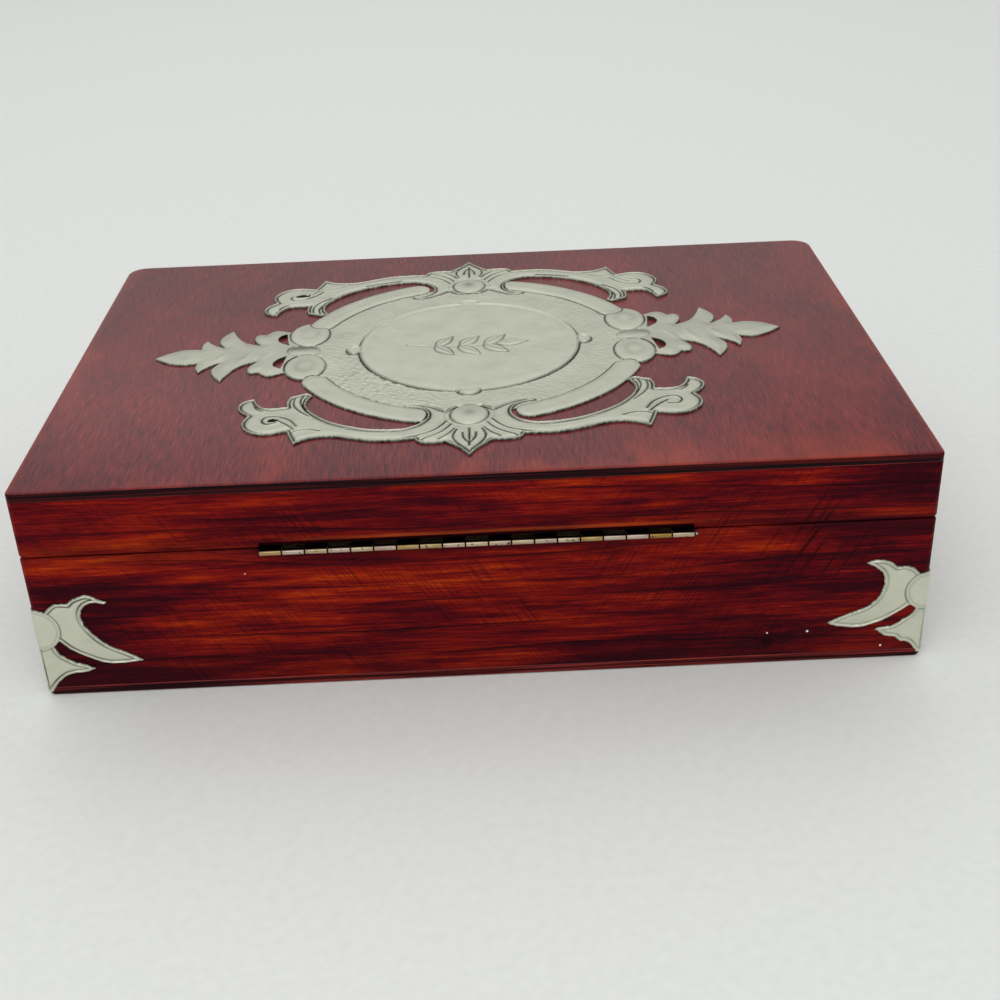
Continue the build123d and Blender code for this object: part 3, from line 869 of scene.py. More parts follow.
@dataclass(frozen=True)
class StainedPlywood:
    """Thin plywood, stained red-brown: a satin face veneer with short fine fibres, and a nearly black edge.

    The face is oiled and smooth, so it mirrors the room faintly and looks mauve, less so towards the hinge,
    where it is handled most. The stain soaked into the edge, where the plies show as dark lines, and hands
    have rubbed the face orange along its rim. Real fibres are too fine to show, so they are drawn coarser,
    at just under half a millimetre.
    """

    low: float
    high: float
    edge_tones: tuple[str, str, str] = ("#0e0509", "#25090f", "#4a100f")
    fibre: float = 0.45
    stretch: float = 16.0
    half_depth: float = 88.0
    gloss: Pair = (0.6, 0.2)
    edge_gloss: float = 0.06

    def build(self, name: str) -> bpy.types.Material:
        """Makes the material.

        Args:
            name: The name that it gets.

        Returns:
            The material.
        """
        n = Nodes(bpy.data.materials.new(name))
        place = n.add("TexCoord").outputs["Object"]
        apart = n.add("SeparateXYZ", {0: place})
        fibres = drawn_noise(n, place, self.fibre, (1, self.stretch, 1), detail=3.0)
        pores = drawn_noise(n, place, 0.6, (1, 8, 1), detail=1.0)
        flames = drawn_noise(n, place, 26.0, (1, 2.2, 1), detail=3.0)
        level = n.add("Math", {0: flames, 1: 0.36, 2: 0.175}, operation="MULTIPLY_ADD")
        mixed = n.add("Math", {0: fibres, 1: 0.78, 2: level.outputs[0]}, operation="MULTIPLY_ADD")
        tone = n.add(
            "ValToRGB",
            {"Fac": mixed.outputs[0]},
            stops=[(0.6, "#481019"), (0.7, "#64171d"), (0.8, "#762022"), (0.92, "#8e2f28")],
        )
        pitted = n.add("ValToRGB", {"Fac": pores}, stops=[(0.28, "#8d7f83"), (0.38, "#ffffff")])
        face = n.add(
            "Mix",
            {0: 0.5, 6: tone.outputs["Color"], 7: pitted.outputs["Color"]},
            data_type="RGBA",
            blend_type="MULTIPLY",
        )
        rubbed = self._rubbed(n, apart, flames, face.outputs[2])
        plies = drawn_noise(n, place, 0.7, (90, 90, 1), detail=2.0)
        edge = n.add("ValToRGB", {"Fac": plies}, stops=list(zip((0.4, 0.52, 0.66), self.edge_tones)))
        middle, half = (self.low + self.high) / 2 * MM, (self.high - self.low) / 2
        above = n.add("Math", {0: apart.outputs[2], 1: middle}, operation="SUBTRACT")
        away = n.add("Math", {0: above.outputs[0]}, operation="ABSOLUTE").outputs[0]
        face_range = {"Value": away, "From Min": (half - 0.45) * MM, "From Max": (half - 0.25) * MM}
        is_face = n.add("MapRange", face_range).outputs["Result"]
        colour = n.add("Mix", {0: is_face, 6: edge.outputs["Color"], 7: rubbed}, data_type="RGBA")
        rough = n.add("MapRange", {"Value": fibres, "To Min": 0.32, "To Max": 0.24})
        handled = n.add(
            "MapRange",
            {
                "Value": apart.outputs[1],
                "From Min": -self.half_depth * MM,
                "From Max": self.half_depth * MM,
                "To Min": self.gloss[0],
                "To Max": self.gloss[1],
            },
        )
        gloss = n.add(
            "MapRange", {"Value": is_face, "To Min": self.edge_gloss, "To Max": handled.outputs["Result"]}
        )
        bump = n.add("Bump", {"Height": mixed.outputs[0], "Strength": 0.25, "Distance": 0.08 * MM})
        shader = n.add(
            "BsdfPrincipled",
            {
                "Base Color": colour.outputs[2],
                "Roughness": rough.outputs["Result"],
                "IOR": 1.5,
                "Specular IOR Level": gloss.outputs["Result"],
                "Normal": bump.outputs["Normal"],
            },
        )
        return n.finish(shader.outputs["BSDF"])

    @staticmethod
    def _rubbed(
        n: Nodes, apart: bpy.types.Node, flames: bpy.types.NodeSocket, colour: bpy.types.NodeSocket
    ) -> bpy.types.NodeSocket:
        """Warms the face along the rim, most at the back and in patches.

        Args:
            n: The material being made.
            apart: The separated coordinates.
            flames: Broad noise, which makes the patches.
            colour: The face's own colour.

        Returns:
            The warmed colour.
        """
        across = n.add("Math", {0: apart.outputs[0]}, operation="ABSOLUTE").outputs[0]
        sides = n.add(
            "MapRange", {"Value": across, "From Min": 119 * MM, "From Max": 127 * MM, "To Max": 0.4}
        )
        back = n.add(
            "MapRange", {"Value": apart.outputs[1], "From Min": 70 * MM, "From Max": 88 * MM, "To Max": 0.6}
        )
        rim = n.add("Math", {0: sides.outputs["Result"], 1: back.outputs["Result"]}, operation="MAXIMUM")
        patchy = n.add("MapRange", {"Value": flames, "From Min": 0.46, "From Max": 0.68})
        inner = n.add("Math", {0: rim.outputs[0], 1: patchy.outputs["Result"]}, operation="MULTIPLY")
        arris = n.add(
            "MapRange", {"Value": across, "From Min": 125.6 * MM, "From Max": 126.5 * MM, "To Max": 0.6}
        )
        share = n.add("Math", {0: inner.outputs[0], 1: arris.outputs["Result"]}, operation="MAXIMUM")
        warm = n.add("Mix", {0: share.outputs[0], 6: colour, 7: linear("#a63c1d")}, data_type="RGBA")
        return warm.outputs[2]


@dataclass(frozen=True)
class PalePlywood:
    """Thin birch plywood, sanded and left unfinished: pale, matt, with a faint straight grain."""

    def build(self, name: str) -> bpy.types.Material:
        """Makes the material.

        Args:
            name: The name that it gets.

        Returns:
            The material.
        """
        n = Nodes(bpy.data.materials.new(name))
        place = n.add("TexCoord").outputs["Object"]
        drawn = n.add("Mapping", {"Vector": place, "Scale": (18, 18, 1)}, vector_type="TEXTURE")
        grain = n.add(
            "TexNoise", {"Vector": drawn.outputs[0], "Scale": per_mm(2.2), "Detail": 6.0, "Roughness": 0.65}
        ).outputs["Fac"]
        stops = [(0.3, "#b8946a"), (0.55, "#cfae84"), (0.75, "#dcc09a")]
        tone = n.add("ValToRGB", {"Fac": grain}, stops=stops)
        bump = n.add("Bump", {"Height": grain, "Strength": 0.2, "Distance": 0.1 * MM})
        shader = n.add(
            "BsdfPrincipled",
            {"Base Color": tone.outputs["Color"], "Roughness": 0.7, "Normal": bump.outputs["Normal"]},
        )
        return n.finish(shader.outputs["BSDF"])


@dataclass(frozen=True)
class Pewter:
    """Soft pewter sheet embossed by hand: satin, a greenish grey, with black patina left in its lines, and
    painted shade along its cut edges and between its hammer dents.

    How dark the patina and the painted shade are comes from the sheet's own attribute, named tarnish.
    """

    tones: tuple[str, str, str]

    def build(self, name: str) -> bpy.types.Material:
        """Makes the material.

        Args:
            name: The name that it gets.

        Returns:
            The material.
        """
        n = Nodes(bpy.data.materials.new(name))
        place = n.add("TexCoord").outputs["Object"]
        # The attribute holds the patina, and the painted shade along cut edges and between hammer dents.
        patina_and_shade = n.add("Attribute", attribute_name="patina_and_shade", attribute_type="GEOMETRY")
        cloud = n.add("TexNoise", {"Vector": place, "Scale": per_mm(7), "Detail": 5.0, "Roughness": 0.62})
        rubbing = n.add("TexNoise", {"Vector": place, "Scale": per_mm(0.8), "Detail": 2.0})
        tone = n.add("ValToRGB", {"Fac": cloud.outputs["Fac"]}, stops=list(zip((0.3, 0.5, 0.7), self.tones)))
        mixed = n.add(
            "Mix",
            {0: patina_and_shade.outputs["Fac"], 6: tone.outputs["Color"], 7: linear("#12110e")},
            data_type="RGBA",
        )
        rough = n.add("MapRange", {"Value": cloud.outputs["Fac"], "To Min": 0.46, "To Max": 0.58})
        bump = n.add("Bump", {"Height": rubbing.outputs["Fac"], "Strength": 0.2, "Distance": 0.05 * MM})
        shader = n.add(
            "BsdfPrincipled",
            {
                "Base Color": mixed.outputs[2],
                "Metallic": 1.0,
                "Roughness": rough.outputs["Result"],
                "Normal": bump.outputs["Normal"],
            },
        )
        return n.finish(shader.outputs["BSDF"])


@dataclass(frozen=True)
class AgedMetal:
    """Drawn or rolled metal, once bright and now gone dull: smooth, with soft patches of dull oxide."""

    bright: str
    dull: str
    roughness: float = 0.3
    patch: float = 5.0

    def build(self, name: str) -> bpy.types.Material:
        """Makes the material.

        Args:
            name: The name that it gets.

        Returns:
            The material.
        """
        n = Nodes(bpy.data.materials.new(name))
        place = n.add("TexCoord").outputs["Object"]
        cloud = n.add(
            "TexNoise", {"Vector": place, "Scale": per_mm(self.patch), "Detail": 3.0, "Roughness": 0.55}
        ).outputs["Fac"]
        wear = n.add("TexNoise", {"Vector": place, "Scale": per_mm(0.5), "Detail": 2.0})
        tone = n.add("ValToRGB", {"Fac": cloud}, stops=[(0.36, self.dull), (0.52, self.bright)])
        rough = n.add(
            "MapRange", {"Value": cloud, "To Min": self.roughness + 0.15, "To Max": self.roughness}
        )
        bump = n.add("Bump", {"Height": wear.outputs["Fac"], "Strength": 0.15, "Distance": 0.04 * MM})
        shader = n.add(
            "BsdfPrincipled",
            {
                "Base Color": self._grimed_and_shaded(n, place, tone.outputs["Color"]),
                "Metallic": 1.0,
                "Roughness": rough.outputs["Result"],
                "Normal": bump.outputs["Normal"],
            },
        )
        return n.finish(shader.outputs["BSDF"])

    def _grimed_and_shaded(
        self, n: Nodes, place: bpy.types.NodeSocket, colour: bpy.types.NodeSocket
    ) -> bpy.types.NodeSocket:
        """Gives the colour as it is: plain aged metal has no grime and no painted shade."""
        return colour


@dataclass(frozen=True)
class KnuckleMetal(AgedMetal):
    """Aged metal of a continuous hinge: its own tone on each knuckle, painted shade above and between them,
    and flecks of black grime.

    Distances along X count from where the first knuckle starts, in knuckles. Painted shade lies above its
    height and within each gap, and grime in flecks, all outside the leaves.
    """

    start: float = 0.0
    pitch: float = 6.0
    gap: float = 0.4
    shade_z: float = 46.5
    leaves_end: float = 85.8
    tones: tuple[str, str, str] = ("#a58440", "#c8bb9a", "#bfaaa0")

    def _grimed_and_shaded(
        self, n: Nodes, place: bpy.types.NodeSocket, colour: bpy.types.NodeSocket
    ) -> bpy.types.NodeSocket:
        """Gives each knuckle its tone, then lays painted shade above the knuckles and in their gaps, and
        flecks of grime.

        Args:
            n: The material being made.
            place: The coordinates.
            colour: The metal's own colour.

        Returns:
            The colour with its painted shade and grime.
        """
        apart = n.add("SeparateXYZ", {0: place})
        along = n.add("Math", {0: apart.outputs[0], 1: self.start * MM}, operation="SUBTRACT").outputs[0]
        number = n.add("Math", {0: along, 1: self.pitch * MM}, operation="DIVIDE")
        whole = n.add("Math", {0: number.outputs[0]}, operation="FLOOR")
        drawn = n.add("TexWhiteNoise", {"W": whole.outputs[0]}, noise_dimensions="1D").outputs["Value"]
        tone = n.add("ValToRGB", {"Fac": drawn}, stops=list(zip((0.3, 0.5, 0.75), self.tones)))
        outside = n.add("Math", {0: apart.outputs[1], 1: self.leaves_end * MM}, operation="GREATER_THAN")
        most = n.add("Math", {0: outside.outputs[0], 1: 0.7}, operation="MULTIPLY")
        toned = n.add("Mix", {0: most.outputs[0], 6: colour, 7: tone.outputs["Color"]}, data_type="RGBA")
        # Painted shade: black above the shade height, where the lid shades the knuckles' tops, and within
        # each gap between knuckles.
        low, high = (self.shade_z - 0.1) * MM, (self.shade_z + 0.12) * MM
        upper = n.add("MapRange", {"Value": apart.outputs[2], "From Min": low, "From Max": high})
        off_gap = n.add("Math", {0: along, 1: self.pitch / 2 * MM}, operation="PINGPONG").outputs[0]
        low, high = self.gap / 2 * MM, (self.gap / 2 + 0.1) * MM
        between = n.add(
            "MapRange", {"Value": off_gap, "From Min": low, "From Max": high, "To Min": 1.0, "To Max": 0.0}
        )
        # Flecks of real grime.
        spots = n.add(
            "TexNoise", {"Vector": place, "Scale": per_mm(1.1), "Detail": 3.0, "Roughness": 0.6}
        ).outputs["Fac"]
        flecks = n.add("MapRange", {"Value": spots, "From Min": 0.6, "From Max": 0.68, "To Max": 0.85})
        # The painted shade above and in the gaps, then the flecks of grime joined to it.
        painted_shade = n.add("Math", {0: upper.outputs["Result"], 1: between.outputs["Result"]}, operation="MAXIMUM")
        more = n.add("Math", {0: painted_shade.outputs[0], 1: flecks.outputs["Result"]}, operation="MAXIMUM")
        share = n.add("Math", {0: more.outputs[0], 1: outside.outputs[0]}, operation="MULTIPLY").outputs[0]
        # 170d0a is the black of both the painted shade and the grime.
        grimed_and_shaded_colour = n.add("Mix", {0: share, 6: toned.outputs[2], 7: linear("#170d0a")}, data_type="RGBA")
        return grimed_and_shaded_colour.outputs[2]


# Sub-assemblies


@dataclass
class Casing:
    """The boards of the base and the lid, each a copy of its CAD node with its arrises sanded round.

    Lengths are in millimetres. Faces that differ by less than the flat angle are merged, and edges past the
    sharp angle are eased.
    """

    ease: float = 0.35
    weld: float = 0.01
    flat_angle: float = 1.0
    sharp_angle: float = 30.0

    def build(self) -> None:
        """Makes and dresses every board."""
        bottom_z, top_z = (
            [corner[2] for corner in node_box(node)] for node in ("base_bottom_panel", "lid_top_panel")
        )
        long_pine = StainedPine(Grain.ALONG_X).build("stained_pine_long")
        short_pine = StainedPine(Grain.ALONG_Y, seed=0.31).build("stained_pine_short")
        bottom = StainedPlywood(*bottom_z, ("#1f070c", "#4a1214", "#85302a")).build("stained_plywood_bottom")
        top = StainedPlywood(*top_z).build("stained_plywood_top")
        pale = PalePlywood().build("pale_birch_plywood")
        for sides, pine in ((("back", "front"), long_pine), (("left", "right"), short_pine)):
            for side in sides:
                self.board(f"base_{side}_wall", Body.BASE, Slot.PINE, pine)
                self.board(f"lid_{side}_rail", Body.LID, Slot.PINE, pine)
        self.board("base_bottom_panel", Body.BASE, Slot.PLYWOOD, bottom)
        self.board("lid_top_panel", Body.LID, Slot.PLYWOOD, top)
        for divider in ("long_divider", "cross_divider_left", "cross_divider_right"):
            self.board(divider, Body.BASE, Slot.DIVIDER, pale)

    def board(self, node: str, body: Body, slot: Slot, material: bpy.types.Material) -> None:
        """Copies a board's CAD node, merges its loose triangles, eases its arrises and dresses it.

        Args:
            node: The name of the CAD node.
            body: The body that it moves with.
            slot: Its material slot.
            material: Its finish.
        """
        mesh = frame["nodes"][node].data.copy()
        piece = bpy.data.objects.new("board_" + node, mesh)
        bpy.context.scene.collection.objects.link(piece)
        weld = piece.modifiers.new("weld", "WELD")
        weld.merge_threshold = self.weld * MM
        flat = piece.modifiers.new("flat", "DECIMATE")
        flat.decimate_type = "DISSOLVE"
        flat.angle_limit = math.radians(self.flat_angle)
        bevel = piece.modifiers.new("ease", "BEVEL")
        bevel.width = self.ease * MM
        bevel.segments = 2
        bevel.limit_method = "ANGLE"
        bevel.angle_limit = math.radians(self.sharp_angle)
        bevel.harden_normals = True
        mesh.shade_smooth()
        dress(piece, body, slot, material, node)


@dataclass(frozen=True)
class Tooling:
    """The cross-section of a worked form, by the distance in from its edge, in millimetres.

    The edge is a rounded shoulder. A thin lip may follow, then a tooled line, and then the crown rises over
    its width and stays level. Patina lies in the line.
    """

    edge: float = 0.55
    edge_drop: float = 0.25
    edge_width: float = 0.45
    lip: float = 0.0
    lip_at: float = 0.5
    lip_width: float = 0.33
    lip_room: float = 0.8
    line: float = 0.0
    line_at: float = 1.15
    line_width: float = 0.25
    crown: float = 0.4
    crown_width: float = 2.4
    stain: float = 0.85
    stain_width: float = 0.21

    def height(self, depth: Array) -> Array:
        """Height above the wood: shoulder plus crown, plus a bell for the lip, less a bell for the line.

        Args:
            depth: The distance in from the edge.

        Returns:
            The height of each place.
        """
        shoulder = self.edge - self.edge_drop * (1 - smooth(depth / self.edge_width))
        start = self.lip_room if self.lip else 0.0
        crown = self.crown * smooth((depth - start) / self.crown_width)
        lip = self.lip * bell(depth - self.lip_at, self.lip_width)
        return shoulder + crown + lip - self.line * bell(depth - self.line_at, self.line_width)

    def patina_and_shade(self, depth: Array) -> Array:
        """Patina left in the tooled line: a bell of the distance from it."""
        return (self.stain if self.line else 0.0) * bell(depth - self.line_at, self.stain_width)


@dataclass
class Relief:
    """A worked sheet over a grid: how deep each place lies inside its outline, its height and its tarnish."""

    x: Array
    y: Array
    depth: Array = field(init=False)
    height: Array = field(init=False)
    patina_and_shade: Array = field(init=False)

    def __post_init__(self) -> None:
        """Starts with no sheet anywhere."""
        self.depth = np.full(self.x.shape, -9.0)
        self.height = np.zeros(self.x.shape)
        self.patina_and_shade = np.zeros(self.x.shape)

    def lay(
        self,
        depth: Array,
        tooling: Tooling,
        seam: float = 0.25,
        grey: float = 0.0,
        dark: float = 0.85,
        over: bool = False,
    ) -> None:
        """Lays a form over the sheet.

        The sheet dips along the form's edge by a bell of its distance, and darkens there, so that the two
        meet in a tooled line. The sheet's outline becomes that of both.

        Args:
            depth: How deep each place lies inside the form.
            tooling: The form's cross-section.
            seam: How deep the sheet dips where they meet.
            grey: How dull the form's surface is all over.
            dark: How dark the line is where they meet.
            over: Whether the form rides over what it covers, so that it never lies lower.
        """
        meets = smooth(self.depth / 0.8)
        inside = depth > 0
        dip = bell(np.abs(depth), 0.34) * meets
        own = tooling.height(np.maximum(depth, 0))
        own = np.maximum(own, self.height) if over else own
        self.height = np.where(inside, own, self.height) - seam * dip
        self.patina_and_shade = np.where(inside, np.maximum(tooling.patina_and_shade(depth), grey), self.patina_and_shade)
        self.patina_and_shade = np.maximum(self.patina_and_shade, dark * bell(depth, 0.22) * meets)
        self.depth = np.maximum(self.depth, depth)

    def pierce(self, depth: Array) -> None:
        """Cuts a hole where depth is positive."""
        self.depth = np.minimum(self.depth, -depth)

    def fray(self, size: float) -> None:
        """Makes the cut edges a little ragged and darkens them with patina and painted shade.

        The black is widest along the edges that face the second coordinate's positive side, by how fast the
        depth falls that way; that extra width is painted shade.

        Args:
            size: How far the edges wander, in millimetres.
        """
        x, y = self.x, self.y
        painted_shade_facing = np.clip(-np.gradient(self.depth, y[1, 0] - y[0, 0], axis=0), 0, 1)
        self.depth = self.depth + size * (hand_waver(x, y, 2.1, 7) + hand_waver(x, y, 1.1, 2))
        uneven = 0.8 + 0.2 * hand_waver(x, y, 6.0, 4)
        # Black along the cut edges: patina, widened with painted shade on the edges that face the second
        # coordinate's positive side.
        self.patina_and_shade = np.maximum(self.patina_and_shade, uneven * (1 - smooth(self.depth / (0.16 + 0.34 * painted_shade_facing))))

    def draw(self, distance: Array, sunk: float = 0.25, width: float = 0.32, dark: float = 0.8) -> None:
        """Draws a tooled line: a groove by a bell of the distance, with a low ridge along both its sides.

        Args:
            distance: How far each place lies from the line.
            sunk: How deep the groove is.
            width: How wide it is.
            dark: How dark its bottom is.
        """
        self.height = self.height - sunk * bell(distance, width)
        self.height = self.height + 0.4 * sunk * bell(distance - 2.1 * width, 0.8 * width)
        self.patina_and_shade = np.maximum(self.patina_and_shade, dark * bell(distance, 0.75 * width))


@dataclass
class LidMount:
    """The pewter cartouche of the lid.

    A hammered field surrounds a plain middle, and round it lie four bands, beads, scroll arms and two leaves.
    Lengths are in millimetres from the mount's own centre. The arm is a quarter of the outline and the leaf
    a half of one leaf, and the other quarters and the other half mirror them.
    """

    top: float
    centre: Pair = (0.9, 0.5)
    turn: float = 1.2
    grid: float = 0.255
    half: Pair = (103.0, 79.0)
    ring: float = 35.5
    side_lobe: Pair = (2.6, 3.4)
    end_lobe: Pair = (3.6, 2.6)
    field_edge: float = 49.5
    band_line: float = 53.2
    band_half: float = 4.3
    band_ends: Pair = (25.5, 72.0)
    side_drop: float = 1.5
    lean: float = 0.03
    tie_at: float = 53.2
    bead: Pair = (52.0, 12.9)
    bead_half: Pair = (6.6, 9.4)
    head_bead: float = 51.9
    head_bead_half: Pair = (5.7, 6.5)
    split: float = 42.0
    arm: tuple[Stretch, ...] = (
        ((7.0, 48.0), (10.0, 45.4), (12.8, 43.6), (16.0, 42.3), (18.7, 42.9), (19.6, 44.2)),
        ((19.6, 44.2), (15.6, 45.3), (13.2, 47.5), (12.4, 50.5), (13.2, 53.8), (15.3, 56.6)),
        (
            (15.3, 56.6), (18.8, 58.5), (23.5, 58.7), (29.5, 57.6), (36.0, 54.8),
            (42.0, 50.6), (46.5, 45.2), (49.0, 39.5), (48.6, 35.5), (47.5, 33.0),
        ),
        ((47.5, 33.0), (49.5, 31.5), (51.5, 32.2), (54.5, 33.6)),
        ((54.5, 33.6), (55.2, 36.5), (54.9, 40.3)),
        ((54.9, 40.3), (58.0, 40.6), (61.2, 40.2), (63.3, 38.0), (65.0, 33.4)),
        ((65.0, 33.4), (67.4, 34.4), (69.7, 37.4), (69.2, 41.0), (66.0, 45.1)),
        ((66.0, 45.1), (67.4, 48.8), (67.0, 52.4), (65.2, 55.2), (62.0, 57.4), (58.7, 57.8), (53.6, 56.4)),
        ((53.6, 56.4), (52.4, 60.2), (50.8, 65.0)),
        (
            (50.8, 65.0), (48.5, 63.0), (45.2, 61.5), (41.5, 61.0), (36.5, 62.2),
            (31.0, 64.3), (25.5, 65.6), (15.8, 65.3),
        ),
        ((15.8, 65.3), (15.2, 66.8), (12.2, 68.4), (6.9, 68.2)),
        ((6.9, 68.2), (3.0, 72.3), (0.0, 77.3)),
    )
    leaf: tuple[Stretch, ...] = (
        ((57.0, 15.2), (60.4, 17.4), (63.4, 18.2), (66.6, 15.0)),
        ((66.6, 15.0), (69.0, 15.3), (70.3, 12.2), (69.3, 9.0), (67.8, 6.4)),
        ((67.8, 6.4), (72.0, 8.8), (75.2, 13.4), (77.8, 20.4)),
        ((77.8, 20.4), (80.6, 16.0), (81.6, 11.0), (79.3, 6.0)),
        ((79.3, 6.0), (82.6, 8.6), (85.6, 13.0)),
        ((85.6, 13.0), (87.0, 9.0), (86.8, 5.4)),
        ((86.8, 5.4), (91.0, 6.1), (95.6, 4.6), (101.0, 0.0)),
    )
    stem: Stretch = ((19.5, -1.6), (10.0, 0.7), (0.0, 1.2), (-9.0, 0.5))
    sprig: tuple[tuple[Pair, Pair], ...] = (
        ((-8.5, 0.6), (-19.5, -0.6)),
        ((-4.5, 1.0), (-12.5, 7.8)),
        ((-5.0, 0.9), (-12.0, -7.0)),
        ((3.5, 1.2), (-3.5, 8.8)),
        ((3.0, 1.1), (-3.5, -6.8)),
        ((11.0, 0.5), (5.0, 8.2)),
        ((10.5, 0.6), (5.0, -7.2)),
    )
    eyelet: Stretch = ((58.4, 4.4), (61.0, 6.6), (62.2, 9.6), (61.6, 12.2), (59.6, 13.8))
    eyes: tuple[tuple[Pair, Pair], ...] = (((58.7, 49.6), (1.5, 1.1)), ((56.8, -49.6), (2.6, 0.9)))
    veins: tuple[Stretch, ...] = (
        ((64.0, 0.0), (69.6, 13.2)),
        ((70.0, 0.0), (77.4, 18.2)),
        ((78.0, 0.0), (85.0, 11.4)),
    )
    flutes: tuple[Stretch, ...] = (
        ((6.6, 55.2), (9.0, 59.2), (12.6, 62.4), (18.5, 64.2)),
        ((5.2, 57.2), (7.2, 60.8), (10.4, 64.0), (13.6, 66.2)),
        ((4.2, 60.2), (6.0, 63.4), (8.8, 66.4)),
        ((50.7, 53.8), (53.2, 49.4), (57.0, 46.7), (60.2, 46.5), (61.4, 48.6), (60.2, 51.2), (57.2, 51.1)),
        ((51.4, 55.6), (54.4, 51.6), (57.4, 48.9)),
        ((50.4, 33.2), (50.9, 37.0), (48.9, 42.4)),
        ((52.8, 34.2), (53.0, 38.2), (50.8, 43.4), (47.6, 47.2)),
        ((51.9, 57.0), (48.0, 55.9), (43.6, 57.4)),
        ((0.4, 74.0), (2.6, 70.6), (4.6, 66.4), (3.6, 61.0)),
        ((0.0, 60.6), (0.0, 71.5)),
        ((0.2, 69.6), (1.6, 66.6), (1.9, 63.2)),
        ((24.0, 60.6), (30.0, 59.4), (36.0, 57.2)),
        ((61.8, 42.6), (63.4, 41.2), (64.6, 38.8)),
    )

    def relief(self) -> Relief:
        """Works the sheet up, from the ground to the forms that lie over the others.

        Returns:
            The sheet, in the mount's own coordinates.
        """
        xs = np.arange(-self.half[0], self.half[0] + self.grid, self.grid)
        ys = np.arange(-self.half[1], self.half[1] + self.grid, self.grid)
        x, y = np.meshgrid(xs, ys)
        made = Relief(x, y)
        a, b = np.abs(x), np.abs(y)
        reach = np.hypot(x, y)
        self._field(made, x, y, reach)
        self._leaves(made, a, y + self.side_drop)
        self._beads(made, a, y + self.side_drop)
        self._bands(made, a, b, reach)
        self._arms(made, np.abs(x - self.lean * y * bell(x, 60.0)), b)
        self._eyes(made, x, y)
        made.height = made.height + 0.05 * hand_waver(x, y, 13.0, 3) + 0.02 * hand_waver(x, y, 4.5, 5)
        made.patina_and_shade = made.patina_and_shade * (0.95 + 0.4 * hand_waver(x, y, 17.0, 1))
        made.fray(0.07)
        return made

    def _eyes(self, made: Relief, x: Array, y: Array) -> None:
        """Pierces the eyes of the scrolls, on one side only, where one is round and one a slit.

        Args:
            made: The sheet.
            x: Grid of the first coordinate.
            y: Grid of the second coordinate.
        """
        for middle, half in self.eyes:
            depth = outline_depth(x, y, ellipse(middle, half, sides=11))
            made.height = made.height + 0.22 * bell(depth + 0.8, 0.6)
            made.pierce(depth)

    def _field(self, made: Relief, x: Array, y: Array, reach: Array) -> None:
        """Lays the hammered ground and the plain middle inside its ring line, with a lobe at each quarter.

        Args:
            made: The sheet.
            x: Grid of the first coordinate.
            y: Grid of the second coordinate.
            reach: Distance from the centre.
        """
        made.lay(self.field_edge + 1.0 - reach, Tooling(crown=0.1), grey=0.07)
        strength = 0.22 + 0.78 * bell(np.hypot(x - 30, y - 28), 22.0)
        dents = hammered(0.55 * (x - 0.5 * y), 1.3 * (y + 0.5 * x), 1.6, 4)
        made.height = made.height + 0.75 * strength * (dents - 0.4)
        # Painted shade: dark between the hammer dents, where their slopes would fall dark.
        made.patina_and_shade = made.patina_and_shade + 0.8 * strength * smooth((dents - 0.5) / 0.5)
        out = self.ring + 1.4
        lobes = [
            outline_depth(x - self.lean * y, y, ellipse(middle, half))
            for middle, half in (
                ((out, 0), self.side_lobe),
                ((-out, 0), self.side_lobe),
                ((0, self.ring), self.end_lobe),
                ((0, -self.ring), self.end_lobe),
            )
        ]
        plain = np.maximum.reduce([self.ring - reach, *lobes])
        made.lay(plain, Tooling(edge=0.66, lip=0.42, crown=0.1, crown_width=3.0), seam=0.34, dark=1.2)
        self._sprig(made, x, y)

    def _sprig(self, made: Relief, x: Array, y: Array) -> None:
        """Pushes up a small sprig in the plain middle: a stem, six pointed leaves and one at its tip.

        A leaf's half width is a share of its length times the sine of pi times the way along it to the 0.8.

        Args:
            made: The sheet.
            x: Grid of the first coordinate.
            y: Grid of the second coordinate.
        """
        distance = line_distance(x, y, spline(self.stem))
        made.height = made.height + 0.2 * bell(distance, 0.7)
        made.draw(np.abs(distance - 0.7), sunk=0.14, width=0.26, dark=0.6)
        leaf = Tooling(edge=0.86, crown=0.16, crown_width=1.1)
        for (rx, ry), (tx, ty) in self.sprig:
            length = math.hypot(tx - rx, ty - ry)
            ux, uy = (tx - rx) / length, (ty - ry) / length
            along = (x - rx) * ux + (y - ry) * uy
            across = (y - ry) * ux - (x - rx) * uy
            share = np.clip(along / length, 0, 1)
            bulge = 0.23 * length * np.sin(math.pi * share**0.8)
            depth = np.where((along > 0) & (along < length), bulge - np.abs(across), -6.0)
            made.lay(depth, leaf, seam=0.12, grey=0.03, dark=0.7)
            rib = line_distance(x, y, np.array([(rx, ry), (rx + 0.82 * (tx - rx), ry + 0.82 * (ty - ry))]))
            made.draw(rib, sunk=0.12, width=0.24, dark=0.55)

    def _leaves(self, made: Relief, a: Array, y: Array) -> None:
        """Lays the two side leaves, gently crowned, with soft veins and an eyelet each side of the stalk.

        Args:
            made: The sheet.
            a: How far each place lies to either side.
            y: Grid of the second coordinate, from the leaves' own middle line.
        """
        half = np.concatenate([[(50.0, 0.0), (50.0, 12.0)], chain(self.leaf)])
        depth = outline_depth(a, y, np.concatenate([half, half[::-1] * (1, -1)]))
        made.lay(depth, Tooling(edge=0.7, crown=0.3, crown_width=3.6), seam=0.1, grey=0.13)
        for vein in self.veins:
            distance = line_distance(a, np.abs(y), spline(vein))
            made.height = made.height + 0.14 * bell(distance, 0.9) * smooth(depth / 1.5)
        hole = spline(self.eyelet)
        made.pierce(outline_depth(a, np.abs(y), np.concatenate([hole, hole[:1]])))

